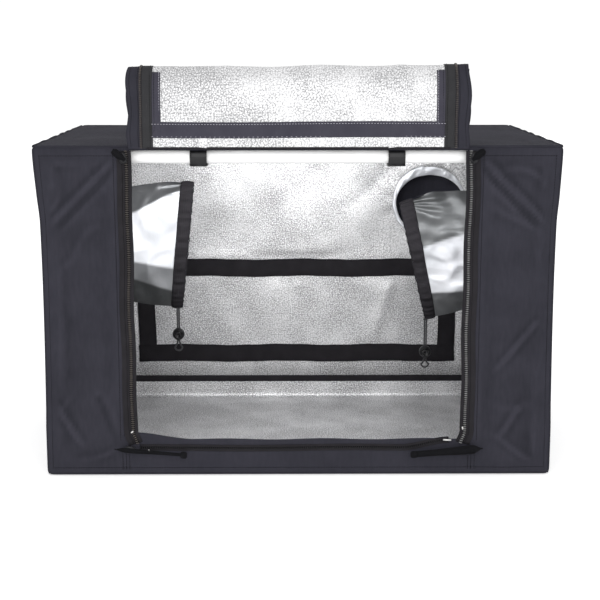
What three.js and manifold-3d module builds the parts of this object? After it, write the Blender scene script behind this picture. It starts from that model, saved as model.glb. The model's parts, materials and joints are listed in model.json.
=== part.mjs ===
// A small propagation tent: a steel pole frame in a black cover with a silver lining, its front door
// rolled up on the roof, two cable sleeves hanging inside, one behind, and a vent in the rear wall.
// Millimetres. X runs across the doorway, Y from front to back and Z up.
import * as THREE from "three";
import { mergeVertices } from "three/addons/utils/BufferGeometryUtils.js";
import Module from "manifold-3d";

const wasm = await Module();
wasm.setup();

// The cover
const WIDTH = 600;
const DEPTH = 400;
const HEIGHT = 390; // to the roof, without the rolled door
const CLOTH = 1.2;
const GAP = 0.3; // between pieces that touch
const DOOR = { halfWidth: 192, low: 46, high: 385 };
const PORT_RADIUS = 50;
const SIDE_PORT = { y: 0, z: 248 };
const BACK_PORT = { x: 190, z: 282 };

// The frame
const POLE = { radius: 8, bore: 7.2 };
const JOINER = { radius: 10.3, bore: 8.3, reach: 36, seat: 12 };
const FRAME = { x: 288, y: 188, low: 12, high: 377 }; // pole axes
const ROUND = 12; // sides of a pole
const BAR_GRIP = { width: 20, socketFrom: 11.5, socketTo: 40 };
const CLIP = { radius: 11, bore: 8.3, width: 20, mouth: 0.7, x: [-114.5, 112] };

// The rolled door and its zips
const ROLL = { halfWidth: 191, face: -202.5, low: 386, lip: 391, top: 478, back: -151 };
const BAND = { halfWidth: 165, low: 399, high: 417, thick: 1.1 };
const ZIP = { outer: 209, inner: 193, low: 30, high: 384, thick: 2, bottomLow: 30, bottomHigh: 38 };
const SLIDER = { width: 9, length: 13, thick: 3.4 };
const PULL = { thick: 1.6, width: 9, long: 82, tail: 14, short: 17, shortTail: 3 };
const PULL_DROOP = 5; // degrees below level, towards the middle
const PULL_LIFT = 38; // degrees above level, outwards
const SIDE_SLIDER = { x: 199, z: 376 };
const LOW_SLIDER = { x: 200, z: 33 };

// The rear vent and the tray
const VENT = { x: 204, low: 75, high: 175, meshLap: 8, meshThick: 0.7 };
const VENT_FLAP = { x: 229, low: 50, high: 200 };
const TRAY = { x: 274, y: 174, rim: 34 };

// The drawcords and their locks
const CORD = { radius: 1.1, apart: 1.6, loop: 4.6, sides: 8 };
const LOCK = { radius: 8, bore: 4.9, boreEnd: 5, slotX: 3.1, slotY: 1.5 };
const BUTTON = { radius: 4.5, front: -11, back: 2.7, travel: 2 };

const paint = (color, roughness, metalness = 0) =>
  new THREE.MeshStandardMaterial({ color, roughness, metalness });
const OXFORD = paint(0x34343c, 0.8);
const MYLAR = paint(0xc9cacc, 0.35, 0.8);
const TAPE = paint(0x25252b, 0.75);
const WHITE_POLE = paint(0xf2f2f0, 0.3);
const BLACK_PLASTIC = paint(0x161618, 0.3);
const NICKEL = paint(0xb8b8bb, 0.25, 1);
const MESH = paint(0x202024, 0.9);

const tent = new THREE.Group();
const cordPieces = new Set();

function add(name, geometry, material, place) {
  const mesh = new THREE.Mesh(geometry, material);
  mesh.name = name;
  if (place) mesh.position.set(...place);
  tent.add(mesh);
  return mesh;
}

// ---- Solids ----

function solid(geometry) {
  const flat = geometry.index ? geometry.toNonIndexed() : geometry.clone();
  for (const extra of ["normal", "uv"]) flat.deleteAttribute(extra);
  const merged = mergeVertices(flat, 1e-3);
  return new wasm.Manifold(
    new wasm.Mesh({
      numProp: 3,
      vertProperties: merged.attributes.position.array,
      triVerts: new Uint32Array(merged.index.array),
    }),
  );
}

function surface(manifold) {
  const made = manifold.getMesh();
  const points = new THREE.BufferAttribute(new Float32Array(made.vertProperties), 3);
  const faces = new THREE.BufferAttribute(new Uint32Array(made.triVerts), 1);
  const geometry = new THREE.BufferGeometry().setAttribute("position", points).setIndex(faces);
  return geometry.toNonIndexed();
}

// A box between two values on each axis.
function block([x0, x1], [y0, y1], [z0, z1]) {
  const geometry = new THREE.BoxGeometry(x1 - x0, y1 - y0, z1 - z0);
  return geometry.translate((x0 + x1) / 2, (y0 + y1) / 2, (z0 + z1) / 2);
}

// A round bar from one value to another along X, Y or Z, through the origin.
function rod(radius, from, to, axis, sides = ROUND) {
  const geometry = new THREE.CylinderGeometry(radius, radius, to - from, sides);
  geometry.translate(0, (from + to) / 2, 0);
  if (axis === "x") geometry.rotateZ(-Math.PI / 2);
  if (axis === "z") geometry.rotateX(Math.PI / 2);
  return geometry;
}

// An outline drawn in two world axes and given a thickness along the third.
function slab(shape, from, to, plane, curveSegments = 8) {
  const geometry = new THREE.ExtrudeGeometry(shape, {
    depth: to - from,
    bevelEnabled: false,
    curveSegments,
  });
  if (plane === "xz") return geometry.translate(0, 0, -to).rotateX(Math.PI / 2);
  return geometry.translate(0, 0, from).rotateZ(Math.PI / 2).rotateY(Math.PI / 2);
}

function rectangle(u0, u1, v0, v1, ShapeClass = THREE.Shape) {
  const path = new ShapeClass();
  path.moveTo(u0, v0).lineTo(u1, v0).lineTo(u1, v1).lineTo(u0, v1).closePath();
  return path;
}

// A wall tube through ring after ring: each ring gives its centre, its two half axes and their
// directions. Both skins split their faces along the same diagonals, so the wall keeps its thickness.
function sleeve(rings, sides) {
  const points = [];
  const rows = [...rings.map((r) => [r, 0]), ...[...rings].reverse().map((r) => [r, CLOTH])];
  for (const [ring, inset] of rows)
    for (let i = 0; i < sides; i++) {
      const turn = (2 * Math.PI * i) / sides;
      const point = ring.centre.clone();
      point.addScaledVector(ring.along, (ring.a - inset) * Math.cos(turn));
      point.addScaledVector(ring.across, (ring.b - inset) * Math.sin(turn));
      points.push(point);
    }
  const faces = [];
  for (let row = 0; row < rows.length; row++)
    for (let i = 0; i < sides; i++) {
      const next = (row + 1) % rows.length;
      const j = (i + 1) % sides;
      const [p, q, r, s] = [
        row * sides + i,
        row * sides + j,
        next * sides + j,
        next * sides + i,
      ];
      faces.push(...(row < rings.length ? [p, r, q, p, s, r] : [p, s, q, s, r, q]));
    }
  const geometry = new THREE.BufferGeometry().setFromPoints(points).setIndex(faces);
  return geometry.toNonIndexed();
}

// ---- Frame: twelve tubes and eight three-way joiners ----

function tube(from, to, axis) {
  return surface(
    solid(rod(POLE.radius, from, to, axis)).subtract(
      solid(rod(POLE.bore, from - 1, to + 1, axis)),
    ),
  );
}

const LEVELS = { bottom: FRAME.low, top: FRAME.high };
const SIDES = { left: -1, right: 1 };
const ENDS = { front: -1, back: 1 };
const acrossLength = FRAME.x - JOINER.seat;
const deepLength = FRAME.y - JOINER.seat;

for (const [level, z] of Object.entries(LEVELS)) {
  for (const [end, sign] of Object.entries(ENDS)) {
    const place = [0, sign * FRAME.y, z];
    add(`pole_${level}_${end}`, tube(-acrossLength, acrossLength, "x"), WHITE_POLE, place);
  }
  for (const [side, sign] of Object.entries(SIDES)) {
    const place = [sign * FRAME.x, 0, z];
    add(`pole_${level}_${side}`, tube(-deepLength, deepLength, "y"), WHITE_POLE, place);
  }
}
for (const [end, endSign] of Object.entries(ENDS))
  for (const [side, sideSign] of Object.entries(SIDES)) {
    const upright = tube(FRAME.low + JOINER.seat, FRAME.high - JOINER.seat, "z");
    const place = [sideSign * FRAME.x, endSign * FRAME.y, 0];
    add(`pole_upright_${end}_${side}`, upright, WHITE_POLE, place);
  }

// A ball with three sockets that point along the given signs of X, Y and Z.
function joiner(signs) {
  let body = solid(new THREE.SphereGeometry(JOINER.radius, ROUND, 8));
  const legs = ["x", "y", "z"].map((axis, i) => {
    const ends = (from, to) => (signs[i] > 0 ? [from, to] : [-to, -from]);
    return [
      rod(JOINER.radius, ...ends(0, JOINER.reach), axis),
      rod(JOINER.bore, ...ends(JOINER.seat - GAP, JOINER.reach + 1), axis),
    ];
  });
  for (const [outside] of legs) body = body.add(solid(outside));
  for (const [, bore] of legs) body = body.subtract(solid(bore));
  return surface(body);
}
for (const [level, z] of Object.entries(LEVELS))
  for (const [end, endSign] of Object.entries(ENDS))
    for (const [side, sideSign] of Object.entries(SIDES)) {
      const signs = [-sideSign, -endSign, level === "top" ? -1 : 1];
      const place = [sideSign * FRAME.x, endSign * FRAME.y, z];
      add(`joiner_${level}_${end}_${side}`, joiner(signs), BLACK_PLASTIC, place);
    }

// ---- Hanging bar: a tube between two grips that ride on the side poles ----

const barEnd = FRAME.x - JOINER.seat - 4;
add("hanging_bar", tube(-barEnd, barEnd, "x"), WHITE_POLE, [0, 0, FRAME.high]);

// A half ring over the side pole with a socket for the bar.
function barGrip(sign) {
  const half = BAR_GRIP.width / 2;
  const ends = (from, to) => (sign < 0 ? [from, to] : [-to, -from]);
  const wide = JOINER.radius + 1;
  return surface(
    solid(rod(JOINER.radius, -half, half, "y"))
      .add(solid(rod(JOINER.radius, ...ends(0, BAR_GRIP.socketTo), "x")))
      .subtract(solid(rod(JOINER.bore, -half - 1, half + 1, "y")))
      .subtract(solid(block([-wide, wide], [-half - 1, half + 1], [-wide, -5])))
      .subtract(solid(rod(JOINER.bore, ...ends(BAR_GRIP.socketFrom, BAR_GRIP.socketTo + 1), "x"))),
  );
}
for (const [side, sign] of Object.entries(SIDES))
  add(`bar_grip_${side}`, barGrip(sign), BLACK_PLASTIC, [sign * FRAME.x, 0, FRAME.high]);

// ---- Pole clips: open rings on the front top pole, mouth to the back ----

function poleClip() {
  const half = CLIP.width / 2;
  const ring = new THREE.Shape();
  ring.absarc(0, 0, CLIP.radius, CLIP.mouth, 2 * Math.PI - CLIP.mouth, false);
  ring.absarc(0, 0, CLIP.bore, 2 * Math.PI - CLIP.mouth, CLIP.mouth, true);
  ring.closePath();
  return slab(ring, -half, half, "yz", 16);
}
CLIP.x.forEach((x, i) => {
  const name = `pole_clip_${["left", "right"][i]}`;
  add(name, poleClip(), BLACK_PLASTIC, [x, -FRAME.y, FRAME.high]);
});

// ---- Cover: six panels, the front and back over the ends of the others ----

const halfWidth = WIDTH / 2;
const halfDepth = DEPTH / 2;
const inner = CLOTH + GAP;

const frontShape = rectangle(-halfWidth, halfWidth, 0, HEIGHT);
frontShape.holes.push(
  rectangle(-DOOR.halfWidth, DOOR.halfWidth, DOOR.low, DOOR.high, THREE.Path),
);
add("front_panel", slab(frontShape, -halfDepth, -halfDepth + CLOTH, "xz"), OXFORD);

const backShape = rectangle(-halfWidth, halfWidth, 0, HEIGHT);
backShape.holes.push(rectangle(-VENT.x, VENT.x, VENT.low, VENT.high, THREE.Path));
backShape.holes.push(
  new THREE.Path().absarc(BACK_PORT.x, BACK_PORT.z, PORT_RADIUS, 0, 2 * Math.PI, false),
);
add("back_panel", slab(backShape, halfDepth - CLOTH, halfDepth, "xz", 12), OXFORD);

for (const [side, sign] of Object.entries(SIDES)) {
  const shape = rectangle(-halfDepth + inner, halfDepth - inner, inner, HEIGHT - inner);
  shape.holes.push(
    new THREE.Path().absarc(SIDE_PORT.y, SIDE_PORT.z, PORT_RADIUS, 0, 2 * Math.PI, false),
  );
  const faces = sign < 0 ? [-halfWidth, -halfWidth + CLOTH] : [halfWidth - CLOTH, halfWidth];
  add(`${side}_panel`, slab(shape, ...faces, "yz", 12), OXFORD);
}
const across = [-halfWidth, halfWidth];
const between = [-halfDepth + inner, halfDepth - inner];
add("roof_panel", block(across, between, [HEIGHT - CLOTH, HEIGHT]), OXFORD);
add("floor_panel", block(across, between, [0, CLOTH]), OXFORD);

const trayFloor = 2 * CLOTH + GAP;
const tray = solid(block([-TRAY.x, TRAY.x], [-TRAY.y, TRAY.y], [inner, TRAY.rim])).subtract(
  solid(
    block(
      [-TRAY.x + CLOTH, TRAY.x - CLOTH],
      [-TRAY.y + CLOTH, TRAY.y - CLOTH],
      [trayFloor, TRAY.rim + 1],
    ),
  ),
);
add("floor_tray", surface(tray), MYLAR);

// ---- Rear vent: a net over the window outside, a flap over it inside ----

add(
  "vent_net",
  block(
    [-VENT.x - VENT.meshLap, VENT.x + VENT.meshLap],
    [halfDepth + GAP, halfDepth + GAP + VENT.meshThick],
    [VENT.low - VENT.meshLap, VENT.high + VENT.meshLap],
  ),
  MESH,
);
add(
  "vent_flap",
  block(
    [-VENT_FLAP.x, VENT_FLAP.x],
    [halfDepth - 2 * CLOTH - GAP, halfDepth - CLOTH - GAP],
    [VENT_FLAP.low, VENT_FLAP.high],
  ),
  MYLAR,
);

// ---- Rolled door: the roll lies on the roof and its face hangs just past the front edge ----

const roll = new THREE.Shape();
roll.moveTo(ROLL.face, ROLL.low);
roll.lineTo(-halfDepth - 2 * GAP, ROLL.low).lineTo(-halfDepth - 2 * GAP, ROLL.lip);
roll.lineTo(ROLL.back - 6, ROLL.lip);
roll.quadraticCurveTo(ROLL.back + 6, ROLL.lip + 30, ROLL.back - 6, ROLL.top - 20);
roll.quadraticCurveTo(ROLL.back - 14, ROLL.top, ROLL.back - 34, ROLL.top);
roll.quadraticCurveTo(ROLL.face, ROLL.top, ROLL.face, ROLL.top - 26);
roll.closePath();
add("door_roll", slab(roll, -ROLL.halfWidth, ROLL.halfWidth, "yz", 5), MYLAR);
const bandFace = ROLL.face - GAP;
add(
  "door_band",
  block(
    [-BAND.halfWidth, BAND.halfWidth],
    [bandFace - BAND.thick, bandFace],
    [BAND.low, BAND.high],
  ),
  TAPE,
);

// ---- Door zips, their sliders and pulls ----

const zipFaces = [-halfDepth - GAP - ZIP.thick, -halfDepth - GAP];
const sliderFaces = [zipFaces[0] - GAP - SLIDER.thick, zipFaces[0] - GAP];
const pullFaces = [sliderFaces[0] - GAP - PULL.thick, sliderFaces[0] - GAP];
for (const [side, sign] of Object.entries(SIDES)) {
  const edges = sign < 0 ? [-ZIP.outer, -ZIP.inner] : [ZIP.inner, ZIP.outer];
  add(`zip_${side}`, block(edges, zipFaces, [ZIP.low, ZIP.high]), TAPE);
}
const bottomEnd = ZIP.inner - GAP;
const bottomZip = block([-bottomEnd, bottomEnd], zipFaces, [ZIP.bottomLow, ZIP.bottomHigh]);
add("zip_bottom", bottomZip, TAPE);

// An outline turned about the origin.
function turnedShape(outline, turned) {
  const middle = new THREE.Vector2();
  const points = outline.map(([u, v]) => new THREE.Vector2(u, v).rotateAround(middle, turned));
  return new THREE.Shape(points);
}

// The shield outline of a slider, nose along +v, about its middle.
function sliderShape(turned) {
  const w = SLIDER.width / 2;
  const l = SLIDER.length / 2;
  const half = [[0.6 * w, -l], [w, 0.3 * l], [0.7 * w, l]];
  const mirrored = half.map(([u, v]) => [-u, v]).reverse();
  return turnedShape([...half, ...mirrored], turned);
}

// A strap from its tail to its rounded end along +u, turned about the slider.
function pullShape(tail, reach, turned) {
  const w = PULL.width / 2;
  const outline = [[-tail, -w * 0.5], [0, -w], [reach - w, -w]];
  const arc = [-60, -30, 0, 30, 60].map((degrees) => {
    const angle = (degrees * Math.PI) / 180;
    return [reach - w + w * Math.cos(angle), w * Math.sin(angle)];
  });
  outline.push(...arc, [reach - w, w], [0, w], [-tail, w * 0.5]);
  return turnedShape(outline, turned);
}
const inTurn = (degrees) => (degrees * Math.PI) / 180;

for (const [side, sign] of Object.entries(SIDES)) {
  const high = [sign * SIDE_SLIDER.x, 0, SIDE_SLIDER.z];
  const low = [sign * LOW_SLIDER.x, 0, LOW_SLIDER.z];
  const outward = sign < 0 ? 180 - PULL_LIFT : PULL_LIFT;
  const inward = sign < 0 ? -PULL_DROOP : 180 + PULL_DROOP;
  const shortPull = pullShape(PULL.shortTail, PULL.short, inTurn(outward));
  const longPull = pullShape(PULL.tail, PULL.long - PULL.tail, inTurn(inward));
  add(`slider_${side}`, slab(sliderShape(0), ...sliderFaces, "xz"), NICKEL, high);
  add(`pull_${side}`, slab(shortPull, ...pullFaces, "xz"), TAPE, high);
  add(`slider_low_${side}`, slab(sliderShape(Math.PI / 2), ...sliderFaces, "xz"), NICKEL, low);
  add(`pull_low_${side}`, slab(longPull, ...pullFaces, "xz"), TAPE, low);
}

// ---- Cable sleeves: round at the port, pressed flat at the hem ----

const vector = (x, y, z) => new THREE.Vector3(x, y, z);
const HEM_X = { left: [-138.5, -155.5], right: [138, 171] }; // top and bottom of each hem
const HEM_Z = { left: [329, 168], right: [306, 152] };
const HEM_DEPTH = 14; // half the hem's opening from front to back
const SLEEVE_STEPS = [0, 0.5, 1]; // from port to hem
const SLEEVE_SIDES = { inside: 12, behind: 20 };

// A side sleeve stretches from its port to the hem, whose top and bottom are given.
function sideSleeve(side) {
  const sign = SIDES[side];
  const top = vector(HEM_X[side][0], SIDE_PORT.y, HEM_Z[side][0]);
  const bottom = vector(HEM_X[side][1], SIDE_PORT.y, HEM_Z[side][1]);
  const start = vector(sign * (halfWidth - inner), SIDE_PORT.y, SIDE_PORT.z);
  const end = top.clone().add(bottom).divideScalar(2);
  const lean = top.clone().sub(bottom).normalize();
  const halfHem = top.distanceTo(bottom) / 2;
  const rings = SLEEVE_STEPS.map((t) => {
    const swell = Math.sin((t * Math.PI) / 2) ** 0.9;
    return {
      centre: start.clone().lerp(end, t),
      a: PORT_RADIUS + (halfHem - PORT_RADIUS) * swell,
      b: PORT_RADIUS + (HEM_DEPTH - PORT_RADIUS) * t,
      along: vector(0, 0, 1).lerp(lean, t).normalize(),
      across: vector(0, -sign, 0),
    };
  });
  return sleeve(rings, SLEEVE_SIDES.inside);
}
for (const side of Object.keys(SIDES)) add(`sleeve_${side}`, sideSleeve(side), MYLAR);

// The rear sleeve leaves its port backwards and folds down against the wall.
const BACK_RINGS = [
  { y: halfDepth + GAP, z: BACK_PORT.z, a: PORT_RADIUS, b: PORT_RADIUS, tilt: 0 },
  { y: 221, z: 275, a: 58, b: 39, tilt: 30 },
  { y: 222, z: 250, a: 66, b: 23, tilt: 62 },
  { y: 217, z: 210, a: 74, b: 15, tilt: 90 },
  { y: 216, z: 150, a: 76, b: 13, tilt: 90 },
];
const backSleeve = sleeve(
  BACK_RINGS.map(({ y, z, a, b, tilt }) => {
    const turn = inTurn(tilt);
    const across = vector(0, Math.sin(turn), Math.cos(turn));
    return { centre: vector(BACK_PORT.x, y, z), a, b, along: vector(1, 0, 0), across };
  }),
  SLEEVE_SIDES.behind,
);
add("sleeve_back", backSleeve, OXFORD);

// ---- Drawcords: each a loop out of the hem, through a ball lock with a push button ----

// Down one strand, round a teardrop loop and up the other.
function cordRoute(drop, lockDrop) {
  const { apart, loop } = CORD;
  const spread = lockDrop + 14;
  const side = [
    [apart, 0],
    [apart, lockDrop / 2],
    [apart, lockDrop],
    [apart + 0.1, lockDrop + 10],
    [loop * 0.8, spread + 2],
    [loop, drop - loop],
    [loop * 0.72, drop - loop * 0.28],
  ];
  const down = side.map(([x, z]) => vector(-x, 0, -z));
  const up = side.map(([x, z]) => vector(x, 0, -z)).reverse();
  return new THREE.CatmullRomCurve3([...down, vector(0, 0, -drop), ...up]);
}

function cordTube(route) {
  const section = new THREE.Shape();
  for (let i = 0; i < CORD.sides; i++) {
    const turn = (2 * Math.PI * i) / CORD.sides;
    const point = [CORD.radius * Math.cos(turn), CORD.radius * Math.sin(turn)];
    if (i) section.lineTo(...point);
    else section.moveTo(...point);
  }
  section.closePath();
  return new THREE.ExtrudeGeometry(section, { steps: 30, extrudePath: route });
}

function lockBody(facing) {
  const ends = (from, to) => (facing < 0 ? [from, to] : [-to, -from]);
  const { slotX, slotY, radius } = LOCK;
  return surface(
    solid(new THREE.SphereGeometry(radius, 14, 9))
      .subtract(solid(rod(LOCK.bore, ...ends(-radius - 1, LOCK.boreEnd), "y")))
      .subtract(solid(block([-slotX, slotX], [-slotY, slotY], [-radius - 1, radius + 1]))),
  );
}

function lockButton(facing) {
  const ends = (from, to) => (facing < 0 ? [from, to] : [-to, -from]);
  const slot = ends(-LOCK.slotY - BUTTON.travel, LOCK.slotY);
  return surface(
    solid(rod(BUTTON.radius, ...ends(BUTTON.front, BUTTON.back), "y")).subtract(
      solid(block([-LOCK.slotX, LOCK.slotX], slot, [-BUTTON.radius - 1, BUTTON.radius + 1])),
    ),
  );
}

const DRAWCORDS = {
  left: { x: -156, y: SIDE_PORT.y, hem: 166.4, lock: 131, end: 109, facing: -1 },
  right: { x: 167.5, y: SIDE_PORT.y, hem: 150.4, lock: 107, end: 86, facing: -1 },
  back: { x: BACK_PORT.x, y: 216, hem: 149.4, lock: 112, end: 90, facing: 1 },
};
for (const [side, { x, y, hem, lock, end, facing }] of Object.entries(DRAWCORDS)) {
  const cord = cordTube(cordRoute(hem - end, hem - lock));
  const made = [
    add(`cord_${side}`, cord, TAPE, [x, y, hem]),
    add(`lock_${side}`, lockBody(facing), BLACK_PLASTIC, [x, y, lock]),
    add(`lock_button_${side}`, lockButton(facing), BLACK_PLASTIC, [x, y, lock]),
  ];
  made.forEach((mesh) => cordPieces.add(mesh));
}

// The origin is on the floor under the middle of the object, cords aside.
tent.updateMatrixWorld(true);
const bounds = new THREE.Box3();
for (const mesh of tent.children) if (!cordPieces.has(mesh)) bounds.expandByObject(mesh);
tent.position.y = -(bounds.min.y + bounds.max.y) / 2;

export default tent;
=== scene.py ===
"""A small propagation tent with its front door rolled up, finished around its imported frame.
Metres. X runs across the doorway, Y from front to back and Z up. Places come from the frame's boxes."""
import json
import math

import bmesh
import bpy
import numpy as np
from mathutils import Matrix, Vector


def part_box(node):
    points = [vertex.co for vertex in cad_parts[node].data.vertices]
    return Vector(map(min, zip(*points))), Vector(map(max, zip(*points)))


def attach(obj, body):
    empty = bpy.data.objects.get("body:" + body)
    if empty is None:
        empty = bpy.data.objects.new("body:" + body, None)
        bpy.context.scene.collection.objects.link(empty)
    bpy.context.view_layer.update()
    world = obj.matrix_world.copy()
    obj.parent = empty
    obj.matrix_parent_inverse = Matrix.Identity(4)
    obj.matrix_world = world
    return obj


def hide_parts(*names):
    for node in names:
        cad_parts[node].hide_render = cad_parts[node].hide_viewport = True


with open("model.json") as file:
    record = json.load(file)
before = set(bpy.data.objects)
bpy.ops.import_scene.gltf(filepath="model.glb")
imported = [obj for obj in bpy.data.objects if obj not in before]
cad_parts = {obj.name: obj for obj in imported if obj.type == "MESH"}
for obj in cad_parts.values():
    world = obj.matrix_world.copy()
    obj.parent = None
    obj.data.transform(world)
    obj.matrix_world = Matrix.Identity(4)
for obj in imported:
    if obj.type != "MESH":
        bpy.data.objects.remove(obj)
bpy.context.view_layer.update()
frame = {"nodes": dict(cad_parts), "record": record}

MM = 0.001

# Places that the frame gives
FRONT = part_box("front_panel")[0].y  # the cover's outer faces
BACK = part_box("back_panel")[1].y
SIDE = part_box("front_panel")[1].x
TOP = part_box("front_panel")[1].z
MID = (FRONT + BACK) / 2
DOOR_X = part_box("zip_right")[0].x - 1 * MM  # the doorway's edges
SILL = 46 * MM
DOOR_TOP = 385 * MM
POLE_R = 8 * MM
POLE_X = SIDE - 12 * MM
POLE_Y = FRONT + 12 * MM, BACK - 12 * MM
POLE_Z = 12 * MM, 377 * MM
BEND = 6 * MM  # how round the cover's edges are
CLOTH = 1.0 * MM
PORT_R = 50 * MM
PORT_FADE = 24 * MM


# ---------------------------------------------------------------- meshes

def quads(rows, columns, around=False):
    """Four point numbers for each cell of a grid stored row by row.

    Around joins the last column to the first.
    """
    i = np.arange(rows - 1)[:, None]
    j = np.arange(columns if around else columns - 1)[None, :]
    k = (j + 1) % columns
    cells = [i * columns + j, i * columns + k, (i + 1) * columns + k, (i + 1) * columns + j]
    return np.stack(cells, -1).reshape(-1, 4)


class Chunk:
    """Points, faces as arrays of equal-sided polygons, a UV pair for each face corner and a painted shade for
    each point.
    """

    def __init__(self, points, faces, uv=None, finish=0, shade=None):
        self.points = np.asarray(points, float).reshape(-1, 3)
        self.faces = [np.asarray(f, int) for f in faces]
        self.uv = uv or [np.zeros((*f.shape, 2)) for f in self.faces]
        self.finish = finish
        self.shade = np.zeros(len(self.points)) if shade is None else shade


def grid(points, us, vs, around=False, keep=None, finish=0, shade=None):
    """A grid of points, rows by columns, with UVs in metres: us along a row and vs from row to row."""
    rows, columns = points.shape[:2]
    faces = quads(rows, columns, around)
    corner_u = np.asarray(us, float)
    row = faces // columns
    column = faces % columns
    if around:
        column[:, 1:3] = np.where(column[:, 1:3] == 0, columns, column[:, 1:3])
    uv = np.stack([corner_u[column], np.asarray(vs, float)[row]], -1)
    if keep is not None:
        cells = keep.reshape(-1)
        faces, uv = faces[cells], uv[cells]
    used, where = np.unique(faces, return_inverse=True)
    shade = None if shade is None else shade.ravel()[used]
    return Chunk(points.reshape(-1, 3)[used], [where.reshape(faces.shape)], [uv], finish, shade)


def build(name, chunks, finishes, body="tent", stands_for=(), weld=False):
    """Puts chunks into one mesh object that rides on a body; weld closes the poles of turned shapes."""
    points = np.concatenate([c.points for c in chunks])
    starts = np.cumsum([0] + [len(c.points) for c in chunks[:-1]])
    faces = [f + start for c, start in zip(chunks, starts) for f in c.faces]
    sides = np.concatenate([np.full(len(f), f.shape[1]) for f in faces])
    loops = np.concatenate([f.ravel() for f in faces])
    uv = np.concatenate([u.reshape(-1, 2) for c in chunks for u in c.uv])
    index = np.concatenate([np.full(len(f), c.finish) for c in chunks for f in c.faces])
    mesh = bpy.data.meshes.new(name)
    mesh.vertices.add(len(points))
    mesh.vertices.foreach_set("co", points.astype(np.float32).ravel())
    mesh.loops.add(len(loops))
    mesh.loops.foreach_set("vertex_index", loops.astype(np.int32))
    mesh.polygons.add(len(sides))
    mesh.polygons.foreach_set("loop_start", np.r_[0, np.cumsum(sides)[:-1]].astype(np.int32))
    mesh.polygons.foreach_set("loop_total", sides.astype(np.int32))
    mesh.polygons.foreach_set("material_index", index.astype(np.int32))
    mesh.polygons.foreach_set("use_smooth", np.full(len(sides), True))
    mesh.uv_layers.new(name="UVMap").data.foreach_set("uv", uv.astype(np.float32).ravel())
    # The shade attribute holds painted shade: darker in creases and on sleeve facets turned from the light,
    # lighter on ridges.
    shade = np.concatenate([c.shade for c in chunks])
    if shade.any():
        mesh.attributes.new("shade", "FLOAT", "POINT").data.foreach_set("value", shade.astype(np.float32))
    mesh.update()
    mesh.validate()
    if weld:
        work = bmesh.new()
        work.from_mesh(mesh)
        bmesh.ops.remove_doubles(work, verts=work.verts, dist=1e-6)
        work.to_mesh(mesh)
        work.free()
    for finish in finishes:
        mesh.materials.append(finish)
    piece = bpy.data.objects.new(name, mesh)
    bpy.context.scene.collection.objects.link(piece)
    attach(piece, body)
    if stands_for:
        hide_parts(*([stands_for] if isinstance(stands_for, str) else stands_for))
    return piece


def thicken(piece, thickness, inside=0):
    """A wall behind the surface; inside shifts the finish of the inner face."""
    wall = piece.modifiers.new("wall", "SOLIDIFY")
    wall.thickness = thickness
    wall.offset = -1
    wall.use_even_offset = False
    wall.material_offset = inside
    return piece


def unit(v):
    v = np.asarray(v, float)
    return v / np.maximum(np.linalg.norm(v, axis=-1, keepdims=True), 1e-12)


def frames(path, side=(0, 0, 1)):
    """Unit side and up at each path point: side leaves out its part along the path."""
    path = np.asarray(path, float)
    tangent = unit(np.gradient(path, axis=0))
    across = np.broadcast_to(np.asarray(side, float), path.shape)
    across = unit(across - (across * tangent).sum(-1, keepdims=True) * tangent)
    return across, np.cross(tangent, across)


def lengths(path):
    """Distance along a path at each of its points."""
    return np.r_[0, np.cumsum(np.linalg.norm(np.diff(np.asarray(path, float), axis=0), axis=1))]


def sweep(path, outline, side=(0, 0, 1), finish=0, scale=None):
    """Carries a closed outline, in (side, up) pairs, along a path and closes both ends.

    The outline may be one for the whole path, or one for each of its points.
    """
    path = np.asarray(path, float)
    outline = np.asarray(outline, float)
    if outline.ndim == 2:
        outline = np.broadcast_to(outline, (len(path), *outline.shape))
    across, up = frames(path, side)
    size = np.ones(len(path)) if scale is None else np.asarray(scale, float)
    shape = outline * size[:, None, None]
    rings = path[:, None] + shape[..., :1] * across[:, None] + shape[..., 1:] * up[:, None]
    middle = outline[len(path) // 2]
    around = lengths(np.r_[middle, middle[:1]])
    tube = grid(rings, around, lengths(path), around=True, finish=finish)
    count = outline.shape[1]
    caps = np.stack([np.arange(count)[::-1], len(tube.points) - count + np.arange(count)])
    tube.faces.append(caps)
    tube.uv.append(np.zeros((*caps.shape, 2)))
    return tube


def rounded(width, height, radius, steps=3):
    """The outline of a rectangle with round corners, about its middle."""
    turn = np.linspace(0, np.pi / 2, steps + 1)
    corners = []
    for k, signs in enumerate(((1, 1), (-1, 1), (-1, -1), (1, -1))):
        angle = turn + k * np.pi / 2
        middle = np.array(signs) * (np.array([width, height]) / 2 - radius)
        corners.append(middle + radius * np.stack([np.cos(angle), np.sin(angle)], -1))
    return np.concatenate(corners)


def circle(radius, sides=24):
    turn = np.linspace(0, 2 * np.pi, sides, endpoint=False)
    return radius * np.stack([np.cos(turn), np.sin(turn)], -1)


def turned(profile, origin, axis, sides=40):
    """A closed profile of (radius, distance along the axis) pairs, spun once about the axis."""
    axis = unit(axis)
    first = unit(np.cross(axis, (0.31, 0.53, 0.79)))
    second = np.cross(axis, first)
    turn = np.linspace(0, 2 * np.pi, sides, endpoint=False)
    spoke = np.cos(turn)[:, None] * first + np.sin(turn)[:, None] * second
    profile = np.asarray(profile, float)
    ring = np.asarray(origin, float) + profile[:, None, :1] * spoke[None] + profile[:, None, 1:] * axis
    ring = np.concatenate([ring, ring[:1]])
    reach = lengths(np.r_[profile, profile[:1]])
    chunk = grid(ring, np.linspace(0, 2 * np.pi * profile[:, 0].max(), sides + 1), reach, around=True)
    count = len(profile) * sides
    chunk.faces = [f % count for f in chunk.faces]
    chunk.points = chunk.points[:count]
    return chunk


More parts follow.
